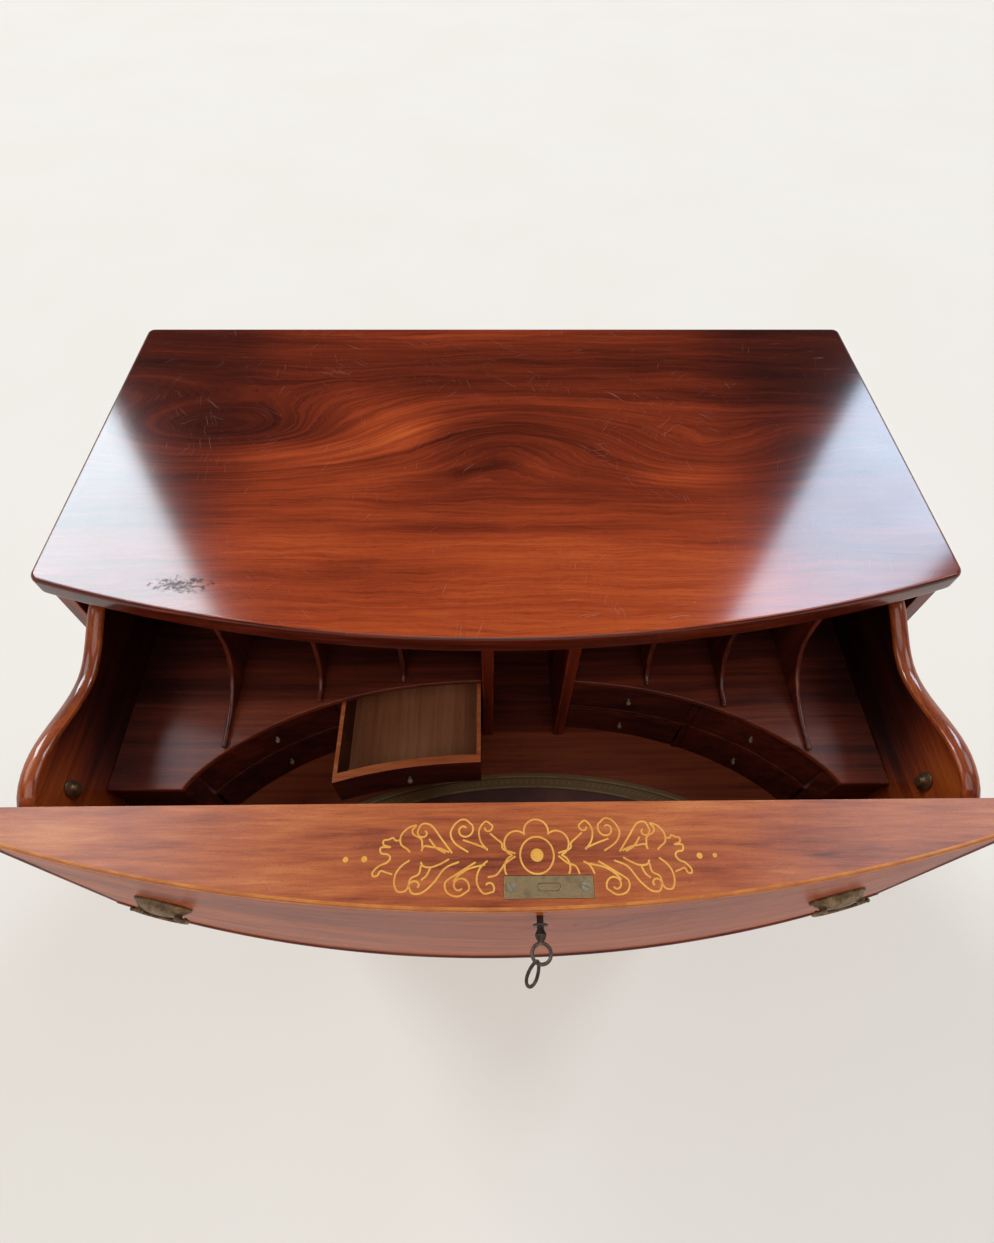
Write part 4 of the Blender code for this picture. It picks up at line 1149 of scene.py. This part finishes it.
@dataclass
class Handle:
    """An oval plate with two posts and the drop bail that swings between them."""

    bench: Bench
    name: str
    joint: str
    plate_half: Pair = (31 * MM, 23 * MM)
    plate_lift: float = 0.3 * MM
    plate_sides: int = 56
    plate_rings: Outline = ((1.0, 1.4), (0.985, 2.0), (0.95, 2.5), (0.92, 2.7), (0.89, 3.6), (0.82, 5.4),
                            (0.72, 7.2), (0.58, 8.9), (0.42, 10.1), (0.26, 10.8), (0.10, 11.1))
    post: Outline = ((0.0, 1.5), (5.2, 1.5), (5.2, 3.4), (4.4, 5.0), (3.7, 6.6), (3.5, 8.0), (3.9, 9.2),
                     (4.1, 10.5), (3.7, 11.8), (2.7, 12.6), (1.3, 13.0), (0.0, 13.2))
    post_at: float = 21 * MM
    post_sides: int = 20
    bail_out: float = 10.5 * MM
    bail_half: float = 29 * MM
    bail_drop: float = 31 * MM
    bail_power: float = 0.85
    bail_steps: int = 40
    bail_below: float = 0.5 * MM
    bail_above: float = 0.6 * MM
    wire: float = 1.8 * MM
    pin: float = 1.4 * MM
    pin_start: float = 20.5 * MM
    ball: float = 2.4 * MM
    ball_steps: tuple[int, int] = (16, 10)

    def build(self) -> None:
        """Builds the plate and the bail where the joint has them."""
        joint = self.bench.joint(self.joint)
        pivot = Vector(joint["pos_m"])
        along = -Vector(joint["axis"]).normalized()
        out = along.cross(UP)
        turn = Matrix((along, out, UP)).transposed().to_4x4()
        seat = Matrix.Translation(pivot - out * self.bail_out) @ turn
        hang = Matrix.Translation(pivot) @ turn
        for kind, shape, mesh, place in (("plate", "oval_plate", self._plate(), seat),
                                         ("bail", "drop_bail", self._bail(), hang)):
            node = f"{self.name}_{kind}"
            self.bench.piece(f"{self.name}_{shape}", moved(mesh, place), Finish.BRONZE,
                             self.bench.body_of(node), "bronze", (node,))

    def _plate(self) -> BMesh:
        """The domed plate with its narrow rim, and the two posts.

        Returns:
            The mesh, with the plate's middle at the origin.
        """
        bm = bmesh.new()
        upright = Matrix.Rotation(-math.pi / 2, 4, "X")
        shape = Matrix.Diagonal((self.plate_half[0], 1.0, self.plate_half[1], 1.0))
        lift = Matrix.Translation((0.0, self.plate_lift, 0.0))
        bmesh.ops.create_circle(bm, cap_ends=True, segments=self.plate_sides, radius=1.0,
                                matrix=lift @ shape @ upright)
        face = bm.faces[:]
        reached, size = 0.0, 1.0
        for scale, rise in self.plate_rings:
            grown = bmesh.ops.extrude_face_region(bm, geom=face)["geom"]
            verts = verts_in(grown)
            face = [part for part in grown if isinstance(part, BMFace)]
            bmesh.ops.translate(bm, verts=verts, vec=(0.0, rise * MM - reached, 0.0))
            share = scale / size
            bmesh.ops.scale(bm, verts=verts, vec=(share, 1.0, share))
            reached, size = rise * MM, scale
        return merged([bm, *(self._post(sign) for sign in SIGNS)])

    def _post(self, sign: int) -> BMesh:
        """One post with its collar and round head.

        Args:
            sign: The end of the plate that it stands at.

        Returns:
            The post.
        """
        profile = [(radius * MM, height * MM) for radius, height in self.post]
        place = Matrix.Translation((sign * self.post_at, 0.0, 0.0)) @ Matrix.Rotation(-math.pi / 2, 4, "X")
        return moved(turned(profile, self.post_sides), place)

    def _bail(self) -> BMesh:
        """The drop bail with the two pins that sit in the posts.

        Returns:
            The mesh, with the swing's axis through the origin.
        """
        bow = []
        for k in range(self.bail_steps + 1):
            turn = math.pi * k / self.bail_steps
            drop = self.bail_drop * math.sin(turn) ** self.bail_power
            bow.append(Vector((-self.bail_half * math.cos(turn), 0.0, -drop - self.bail_below)))
        first, last = (Vector((sign * self.bail_half, 0.0, self.bail_above)) for sign in SIGNS)
        pins = []
        balls = []
        for sign in SIGNS:
            start, end = (Vector((sign * x, 0.0, 0.0)) for x in (self.pin_start, self.bail_half))
            pins.append(rods([[start, end]], self.pin))
            ball = bmesh.new()
            bmesh.ops.create_uvsphere(ball, u_segments=self.ball_steps[0], v_segments=self.ball_steps[1],
                                      radius=self.ball, matrix=Matrix.Translation(end))
            balls.append(ball)
        return merged([rods([[first, *bow, last]], self.wire), *pins, *balls])


@dataclass
class ScrollInlay:
    """Boxwood lines let into the top edge of the fall: a rosette between two sprays of scrolling leaves."""

    bench: Bench
    centre: Pair = (28.06 * MM, -316.56 * MM)
    line: float = 0.80 * MM
    proud: float = 0.14 * MM
    stretch: Pair = (0.040, -0.020)
    end: float = 130.0
    steps: int = 6
    ring: Pair = (14.6, 15.7)
    ring_steps: int = 48
    dot: float = 5.6
    disc_sides: int = 32
    petals: Pair = (19.5, 31.0)
    petal_count: float = 6.0
    petal_power: float = 0.55
    petal_start: float = -31.0
    petal_sweep: float = 242.0
    petal_steps: int = 120
    curl_steps: int = 28
    curl_in: float = 0.72
    beads: tuple[tuple[float, float, float], ...] = (
        (141.4, -1.9, 2.6), (154.8, -1.6, 2.0), (-149.5, -1.9, 2.6), (-165.6, -2.2, 2.4))
    scrolls: tuple[Scroll, ...] = (
        (((42.7, 4.4), (48.5, 12.0), (50.0, 22.0), (44.5, 29.6), (38.4, 26.0)), (43.2, 24.2), 0.55),
        (((59.2, 3.1), (70.7, 10.9), (74.5, 20.0), (69.4, 29.1), (62.5, 31.5), (55.9, 26.5)),
         (62.8, 22.4), 0.95),
        (((72.7, 2.3), (82.1, 14.8), (91.0, 26.5), (98.7, 27.8), (102.2, 21.3)), (97.0, 20.2), 0.70),
        (((52.9, -5.4), (68.2, -14.9), (77.8, -21.9), (75.8, -30.2), (66.9, -33.0), (58.5, -28.3)),
         (66.0, -25.0), 0.95),
        (((66.9, -5.0), (78.3, -10.1), (87.2, -21.9), (96.1, -29.7), (103.8, -30.2), (107.1, -24.3)),
         (101.5, -24.6), 0.6),
    )
    leaves: tuple[Outline, ...] = (
        ((40.7, 19.2), (35.6, 14.8), (30.5, 10.4), (29.0, 5.2), (18.6, 1.6)),
        ((42.7, 5.5), (52.0, 9.4), (64.0, 13.6)),
        ((78.3, 2.6), (86.0, 7.0), (92.3, 14.8)),
        ((75.2, 3.2), (83.0, 6.4), (90.7, 7.9), (96.2, 8.5), (98.4, 4.3)),
        ((97.6, 7.0), (98.8, 14.6), (105.2, 18.6), (106.4, 22.6), (103.5, 26.7), (109.8, 24.6), (115.2, 18.2),
         (115.2, 10.7), (110.0, 6.4), (107.3, 3.6)),
        ((115.2, 14.4), (119.2, 13.6), (121.7, 16.0), (125.0, 14.6), (129.0, 13.6), (128.4, 9.8),
         (123.2, 8.0), (130.5, 7.8), (130.1, 3.0), (125.0, 1.9), (122.8, -1.1), (125.2, -5.1),
         (130.5, -7.5), (135.2, -12.4), (134.9, -16.0), (131.6, -15.6), (129.4, -11.9), (125.0, -13.2),
         (120.2, -14.7)),
        ((44.8, -7.5), (58.0, -10.6), (66.9, -16.0), (71.5, -21.0)),
        ((75.2, -2.6), (82.0, -6.4), (89.6, -9.2), (96.0, -8.4), (98.4, -4.8)),
        ((97.4, -19.6), (93.2, -16.0), (90.4, -9.8)),
        ((98.0, -7.6), (99.4, -14.6), (104.8, -17.6), (106.4, -20.2), (107.4, -25.6), (110.2, -28.6),
         (115.8, -28.2), (118.4, -21.4), (117.4, -13.9), (113.0, -7.5), (107.3, -3.2)),
    )
    left_scroll: Scroll = (
        ((42.7, -4.2), (49.8, -11.3), (51.9, -21.9), (46.5, -30.7), (38.1, -29.7)), (42.6, -25.6), 0.5)
    left_leaf: Outline = ((42.7, -17.9), (35.6, -16.2), (30.8, -10.9), (27.5, -6.6), (18.6, -0.7))
    right_leaf: Outline = ((49.0, -16.0), (45.5, -9.0), (40.0, -5.4))
    right_claw: Outline = ((36.0, -16.0), (33.0, -9.5), (26.0, -6.6), (18.6, -0.7))

    def build(self) -> None:
        """Lays the lines, the ring, the rosette and the beads all but flush in the fall's top edge."""
        left = self._spray(-1, (*self.leaves, self.left_leaf), (*self.scrolls, self.left_scroll))
        right = self._spray(1, (*self.leaves, self.right_leaf, self.right_claw), self.scrolls)
        lines = rods([self._rosette(), *left, *right], self.line)
        turns = [2 * math.pi * k / self.ring_steps for k in range(self.ring_steps)]
        circle = [self._place(self.ring[0] * math.cos(turn), self.ring[1] * math.sin(turn)) for turn in turns]
        parts = [lines, rods([circle], self.line, closed=True)]
        parts += [self._disc(0.0, 0.0, self.dot), *(self._disc(*bead) for bead in self.beads)]
        flat = Matrix.Diagonal((1.0, 1.0, self.proud / self.line, 1.0))
        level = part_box("fall_front")[1].z
        bm = moved(merged(parts), Matrix.Translation((0.0, 0.0, level)) @ flat)
        self.bench.piece("scroll_inlay", bm, Finish.BOXWOOD, "fall", "mahogany")

    def _place(self, x: float, y: float) -> Vector:
        """A point of the drawing, given in millimetres from the rosette's middle."""
        return Vector((self.centre[0] + x * MM, self.centre[1] + y * MM, 0.0))

    def _spray(self, side: int, leaves: Sequence[Outline], scrolls: Sequence[Scroll]) -> list[list[Vector]]:
        """The leaves and scrolls on one side of the rosette, a little longer or shorter than drawn.

        Args:
            side: The side, -1 for the left and 1 for the right.
            leaves: The points of each leaf line.
            scrolls: The stem, the eye and the turns of each scroll.

        Returns:
            The points of each line.
        """
        spread = self.stretch[SIGNS.index(side)]
        shapes = [through(leaf, self.steps) for leaf in leaves] + [self._curl(*scroll) for scroll in scrolls]
        return [[self._place(side * p.x * (1 + spread * (p.x / self.end) ** 2), p.y) for p in shape]
                for shape in shapes]

    def _rosette(self) -> list[Vector]:
        """The lobed outline of the rosette, open where the lock plate covers it.

        Returns:
            The points of the outline.
        """
        inner, outer = self.petals
        path = []
        for k in range(self.petal_steps + 1):
            turn = math.radians(self.petal_start + self.petal_sweep * k / self.petal_steps)
            lobe = abs(math.cos(self.petal_count / 2 * (turn - math.pi / 2))) ** self.petal_power
            reach = inner + (outer - inner) * lobe
            path.append(self._place(reach * math.cos(turn), reach * math.sin(turn)))
        return path

    def _curl(self, stem: Outline, eye: Pair, turns: float) -> list[Vector]:
        """A stem that winds in round its eye.

        Args:
            stem: The points that the stem runs through.
            eye: The middle of the curl.
            turns: How many turns it winds.

        Returns:
            The points of the scroll.
        """
        path = through(stem, self.steps)
        start = path[-1] - Vector(eye)
        run = path[-1] - path[-2]
        way = 1.0 if start.x * run.y - start.y * run.x > 0 else -1.0
        steps = int(self.curl_steps * turns)
        for k in range(1, steps + 1):
            share = k / steps
            turn = Matrix.Rotation(way * turns * 2 * math.pi * share, 2)
            path.append(Vector(eye) + turn @ start * (1.0 - self.curl_in * share))
        return path

    def _disc(self, x: float, y: float, radius: float) -> BMesh:
        """A round of boxwood.

        Args:
            x: Its x in the drawing.
            y: Its y in the drawing.
            radius: Its radius in millimetres.

        Returns:
            The round.
        """
        bm = bmesh.new()
        bmesh.ops.create_cone(bm, cap_ends=True, segments=self.disc_sides, radius1=radius * MM,
                              radius2=radius * MM, depth=2 * self.line,
                              matrix=Matrix.Translation(self._place(x, y)))
        return bm


@dataclass
class Fall:
    """The bowed fall front with its edgings, inlay, lock, key and handles."""

    bench: Bench
    face_slope: float = 0.7
    stringing: float = 2.6 * MM
    string_short: float = 0.4 * MM
    string_back: float = 1.9 * MM
    string_drop: float = 2.2 * MM
    bead: float = 2.0 * MM
    bead_drop: float = 4 * MM
    foot_bead: float = 3.3 * MM
    foot_back: float = 1.2 * MM
    bolt_round: float = 2.9 * MM
    bolt_steps: int = 6
    screw_at: float = 31.5 * MM
    screw_radii: Pair = (4.3 * MM, 3.7 * MM)
    screw_sides: int = 28
    screw_depth: float = 1.4 * MM
    screw_sunk: float = 0.1 * MM
    screw_turns: Pair = (0.5, 1.2)
    slot_half: float = 0.45 * MM
    slot_depth: float = 0.7 * MM
    tag_half: float = 3.9 * MM
    tag_wire: float = 1.5 * MM
    tag_share: float = 0.76
    tag_aside: float = 9 * MM
    tag_swell: float = 0.25
    tag_steps: int = 40

    def build(self) -> None:
        """Builds and dresses every piece of the fall."""
        front = (Finish.FALL_FACE, lambda face: face.normal.y < -self.face_slope)
        self.bench.eased("fall_front", Finish.FALL, "mahogany", 1.0 * MM, areas=(front,))
        self._edgings()
        ScrollInlay(self.bench).build()
        for node in ("lock", "lock_bolt"):
            self._rounded_slot(node)
        self._screws()
        self.bench.eased("key", Finish.IRON, "bronze", 0.2 * MM)
        self._tag()
        for side in SIDES:
            Handle(self.bench, f"fall_handle_{side}", f"fall_{side}_bail_swing").build()

    def _edgings(self) -> None:
        """Pale stringing along the top arris, and a dark bead along the foot and the ends of the face."""
        low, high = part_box("fall_front")
        string = bowed_rod(high.x - self.string_short, low.y + self.string_back, high.z - self.string_drop,
                           self.stringing)
        self.bench.piece("fall_stringing", string, Finish.STRINGING, "fall", "mahogany")
        foot = bowed_rod(high.x - BEAD_SHORT, low.y + self.foot_back, low.z + self.foot_bead, self.foot_bead)
        ends = end_beads(low, high, low.z + self.bead, high.z - self.bead_drop, self.bead)
        self.bench.piece("fall_cockbead", merged([foot, *ends]), Finish.BEAD, "fall", "mahogany")

    def _rounded_slot(self, node: str) -> None:
        """Dresses the lock or its bolt, with the upright corners of the slot and of the bolt rounded.

        Args:
            node: The solid.
        """
        low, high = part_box("lock_bolt")

        def at_bolt(vert: BMVert) -> bool:
            """Whether a corner belongs to the bolt or to the slot round it."""
            across = low.x - MM < vert.co.x < high.x + MM and low.y - MM < vert.co.y < high.y + MM
            return across and low.z - MM < vert.co.z

        bm = self.bench.copy_of(node)
        corners = [edge for edge in bm.edges
                   if abs((edge.verts[0].co - edge.verts[1].co).normalized().z) > FACING
                   and all(at_bolt(vert) for vert in edge.verts)]
        bmesh.ops.bevel(bm, geom=corners, offset=self.bolt_round, offset_type="OFFSET",
                        segments=self.bolt_steps, profile=0.5, affect="EDGES", clamp_overlap=True,
                        material=-1)
        ease_arrises(bm, 0.4 * MM)
        self.bench.piece(f"{node}_dressed", bm, Finish.LOCK, self.bench.body_of(node), "bronze", (node,))

    def _screws(self) -> None:
        """The two slotted screws of the lock plate."""
        low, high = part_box("lock")
        middle = (low + high) / 2
        screws = []
        for sign, turn in zip(SIGNS, self.screw_turns):
            bm = bmesh.new()
            bmesh.ops.create_cone(bm, cap_ends=True, segments=self.screw_sides, radius1=self.screw_radii[0],
                                  radius2=self.screw_radii[1], depth=self.screw_depth)
            for side in SIGNS:
                bmesh.ops.bisect_plane(bm, geom=whole(bm), dist=WELD, plane_co=(side * self.slot_half, 0, 0),
                                       plane_no=(1, 0, 0))
            slot = [face for face in bm.faces
                    if face.normal.z > FACING and abs(face.calc_center_median().x) < self.slot_half]
            sunk = bmesh.ops.extrude_face_region(bm, geom=slot)["geom"]
            bmesh.ops.translate(bm, verts=verts_in(sunk), vec=(0, 0, -self.slot_depth))
            bmesh.ops.delete(bm, geom=slot, context="FACES")
            place = Matrix.Translation((middle.x + sign * self.screw_at, middle.y, high.z - self.screw_sunk))
            screws.append(moved(bm, place @ Matrix.Rotation(turn, 4, "Z")))
        self.bench.piece("lock_screws", merged(screws), Finish.SCREW, "fall", "bronze")

    def _tag(self) -> None:
        """The oval loop that hangs from the key's ring, its flat side turned up."""
        low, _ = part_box("key_tag")
        pivot = Vector(self.bench.joint("key_tag_swing")["pos_m"])
        foot = pivot.lerp(Vector((pivot.x - self.tag_aside, low.y, low.z)), self.tag_share)
        hang = (foot - pivot).normalized()
        half = (foot - pivot).length / 2 + self.tag_wire / 2
        side = hang.cross(UP).normalized()
        middle = foot - hang * half
        loop = []
        for k in range(self.tag_steps):
            turn = 2 * math.pi * k / self.tag_steps
            wide = self.tag_half * math.sin(turn) * (1 + self.tag_swell * math.cos(turn))
            loop.append(middle + hang * half * math.cos(turn) + side * wide)
        wire = rods([loop], self.tag_wire, closed=True)
        self.bench.piece("key_loop", wire, Finish.IRON, "key_tag", "bronze", ("key_tag",))


@dataclass
class LowerDrawers:
    """The two deep drawers with their bowed fronts, cockbeads, boxes and handles."""

    bench: Bench
    bead: float = 2.0 * MM

    def build(self) -> None:
        """Builds and dresses both drawers."""
        for k, finish in enumerate((Finish.FRONT_1, Finish.FRONT_2), 1):
            name = f"lower_drawer_{k}"
            self.bench.eased(f"{name}_front", finish, "mahogany", 1.0 * MM)
            self.bench.eased(f"{name}_box", Finish.CASE, "drawer_wood")
            self._cockbead(name)
            for side in SIDES:
                Handle(self.bench, f"{name}_handle_{side}", f"{name}_{side}_bail_swing").build()

    def _cockbead(self, name: str) -> None:
        """Lays the bead round the edge of one front.

        Args:
            name: The drawer's body.
        """
        low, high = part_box(f"{name}_front")
        foot, top = low.z + self.bead, high.z - self.bead
        beads = [bowed_rod(high.x - BEAD_SHORT, low.y + BEAD_SUNK, z, self.bead) for z in (foot, top)]
        ends = end_beads(low, high, foot, top, self.bead)
        self.bench.piece(f"{name}_cockbead", merged([*beads, *ends]), Finish.BEAD, name, "mahogany")


@dataclass
class Window:
    """A tall soft light far behind the chest, at the bearings and heights that the polished top mirrors."""

    name: str
    bearings: Pair
    heights: Pair
    radiance: float
    tint: Colour
    lean: float
    away: float = 20.0

    def build(self, eye: Sequence[float]) -> None:
        """Stands the light up, facing the chest.

        Args:
            eye: The camera's place, mirrored in the top.
        """
        bottom, top = (self.away * math.tan(math.radians(height)) for height in self.heights)
        turn = math.radians(sum(self.bearings) / 2)
        half = math.radians(abs(self.bearings[1] - self.bearings[0]) / 2)
        lamp = bpy.data.lights.new(self.name, "AREA")
        lamp.shape = "RECTANGLE"
        lamp.size = 2 * self.away * math.tan(half)
        lamp.size_y = top - bottom
        lamp.energy = self.radiance * math.pi * lamp.size * lamp.size_y
        lamp.color = self.tint
        obj = bpy.data.objects.new(self.name, lamp)
        offset = Vector((self.away * math.sin(turn), self.away * math.cos(turn), (bottom + top) / 2))
        obj.location = Vector(eye) + offset
        upright = Matrix.Rotation(math.pi - turn, 4, "Z") @ Matrix.Rotation(math.pi / 2, 4, "X")
        obj.rotation_euler = (upright @ Matrix.Rotation(math.radians(self.lean), 4, "Z")).to_euler()
        bpy.context.scene.collection.objects.link(obj)


@dataclass
class Wall:
    """Wide even light from one side, as from a pale wall."""

    name: str
    bearing: float
    height: float
    spread: float
    level: float
    tint: Colour

    def build(self) -> None:
        """Adds the light, its level being what it gives a white floor."""
        lamp = bpy.data.lights.new(self.name, "SUN")
        lamp.color = self.tint
        lamp.angle = math.radians(self.spread)
        lamp.energy = self.level * math.pi / math.sin(math.radians(self.height))
        obj = bpy.data.objects.new(self.name, lamp)
        obj.rotation_euler = (math.radians(90.0 - self.height), 0.0, math.pi - math.radians(self.bearing))
        bpy.context.scene.collection.objects.link(obj)


@dataclass
class Studio:
    """The pale floor, the soft lights and the camera at the photograph's angle."""

    eye: tuple[float, float, float] = (-0.0129, -0.4647, 1.5904)
    pitch: float = 56.083
    yaw: float = 1.337
    roll: float = -0.775
    focal_pixels: float = 654.19
    image_height: float = 1243.0
    sensor: float = 36.0
    windows: tuple[Window, ...] = (
        Window("left_window", (-53.0, -35.8), (30.5, 55.0), 15.0, (0.80, 0.92, 1.0), -4.0),
        Window("right_window", (33.8, 48.0), (30.5, 54.0), 13.2, (0.67, 0.81, 1.0), 0.0))
    walls: tuple[Wall, ...] = (
        Wall("left_wall", -78.0, 52.0, 28.0, 0.14, (0.72, 0.90, 1.0)),
        Wall("right_wall", 78.0, 52.0, 28.0, 0.14, (0.72, 0.90, 1.0)),
        Wall("front_wall", 180.0, 57.0, 50.0, 0.23, (1.0, 1.0, 1.0)))
    floor_half: float = 30.0
    floor_tones: tuple[Colour, Colour] = ((0.86, 0.785, 0.705), (0.88, 0.81, 0.735))
    floor_lift: float = 0.42
    floor_pale: Colour = (0.93, 0.845, 0.765)
    wall_pale: Colour = (0.90, 0.86, 0.80)
    ceiling: Colour = (0.035, 0.033, 0.03)
    wall_heights: Pair = (0.28, 0.44)

    def build(self) -> None:
        """Builds the floor, the world, the lights and the camera."""
        bpy.context.scene.view_settings.view_transform = "Standard"
        self._floor()
        self._world()
        mirrored = (*self.eye[:2], 2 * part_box("top_board")[1].z - self.eye[2])
        for window in self.windows:
            window.build(mirrored)
        for wall in self.walls:
            wall.build()
        self._camera()

    def _floor(self) -> None:
        """A wide plain floor."""
        bm = bmesh.new()
        bmesh.ops.create_grid(bm, x_segments=1, y_segments=1, size=self.floor_half)
        mesh = bpy.data.meshes.new("studio_floor")
        bm.to_mesh(mesh)
        bm.free()
        graph = Graph(bpy.data.materials.new("studio_floor"))
        x, y, z = graph.place()
        cloud = graph.noise(x * 1.5, y * 1.5, z, 3.0)
        colour = graph.mix(cloud.mask(0.3, 0.7), *self.floor_tones)
        mesh.materials.append(graph.finish(Base_Color=colour, Roughness=0.9, Specular_IOR_Level=0.1))
        self._lift(graph)
        floor = bpy.data.objects.new("studio_floor", mesh)
        bpy.context.scene.collection.objects.link(floor)

    def _lift(self, graph: Graph) -> None:
        """Lets the floor look paler than its light, where it is seen straight, mirrored or through glass.

        Args:
            graph: The floor's graph.
        """
        seen = graph.node("ShaderNodeLightPath", out="Is Camera Ray")
        for ray in ("Is Glossy Ray", "Is Transmission Ray"):
            seen = seen.at_least(graph.node("ShaderNodeLightPath", out=ray))
        plain = Flow(graph, graph.shader.outputs[0])
        pale = graph.node("ShaderNodeEmission", None, {"Color": self.floor_pale, "Strength": 1.0})
        both = graph.node("ShaderNodeMixShader", None, {0: seen * self.floor_lift, 1: plain, 2: pale})
        graph.feed(graph.tree.nodes["Material Output"].inputs["Surface"], both)

    def _world(self) -> None:
        """A pale room all round, whose ceiling is dim wherever it is mirrored or gives light."""
        world = bpy.data.worlds.new("studio")
        graph = Graph(world)
        place = graph.node("ShaderNodeTexCoord", out="Generated")
        height = graph.node("ShaderNodeSeparateXYZ", None, {0: place}, "Z")
        room = graph.ramp(height, list(zip(self.wall_heights, (self.wall_pale, self.ceiling))))
        seen = graph.node("ShaderNodeLightPath", out="Is Camera Ray")
        both = graph.node("ShaderNodeMixRGB", None, {"Fac": seen, "Color1": room, "Color2": self.wall_pale})
        graph.feed(graph.tree.nodes["Background"].inputs[0], both)
        bpy.context.scene.world = world

    def _camera(self) -> None:
        """The camera where the photograph was taken from."""
        pitch, yaw, roll = (math.radians(angle) for angle in (self.pitch, self.yaw, self.roll))
        ahead = Vector((math.sin(yaw) * math.cos(pitch), math.cos(yaw) * math.cos(pitch), -math.sin(pitch)))
        level = Vector((math.cos(yaw), -math.sin(yaw), 0.0))
        down = ahead.cross(level)
        right = level * math.cos(roll) + down * math.sin(roll)
        under = down * math.cos(roll) - level * math.sin(roll)
        data = bpy.data.cameras.new("camera")
        data.sensor_width = self.sensor
        data.lens = self.focal_pixels / self.image_height * self.sensor
        camera = bpy.data.objects.new("camera", data)
        turn = Matrix((right, -under, -ahead)).transposed().to_4x4()
        camera.matrix_world = Matrix.Translation(self.eye) @ turn
        bpy.context.scene.collection.objects.link(camera)
        bpy.context.scene.camera = camera


def main() -> None:
    """Builds every part of the chest and the studio."""
    logging.basicConfig(level=logging.INFO, format="%(message)s")
    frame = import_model()
    bench = Bench(frame)
    for assembly in (Carcass(bench), WritingDrawer(bench), Fall(bench), LowerDrawers(bench)):
        start = len(bench.made)
        assembly.build()
        for name in bench.made[start:]:
            LOG.info("%s: %s", type(assembly).__name__, name)
    Studio().build()
    bpy.context.view_layer.update()


if __name__ == "__main__":
    main()
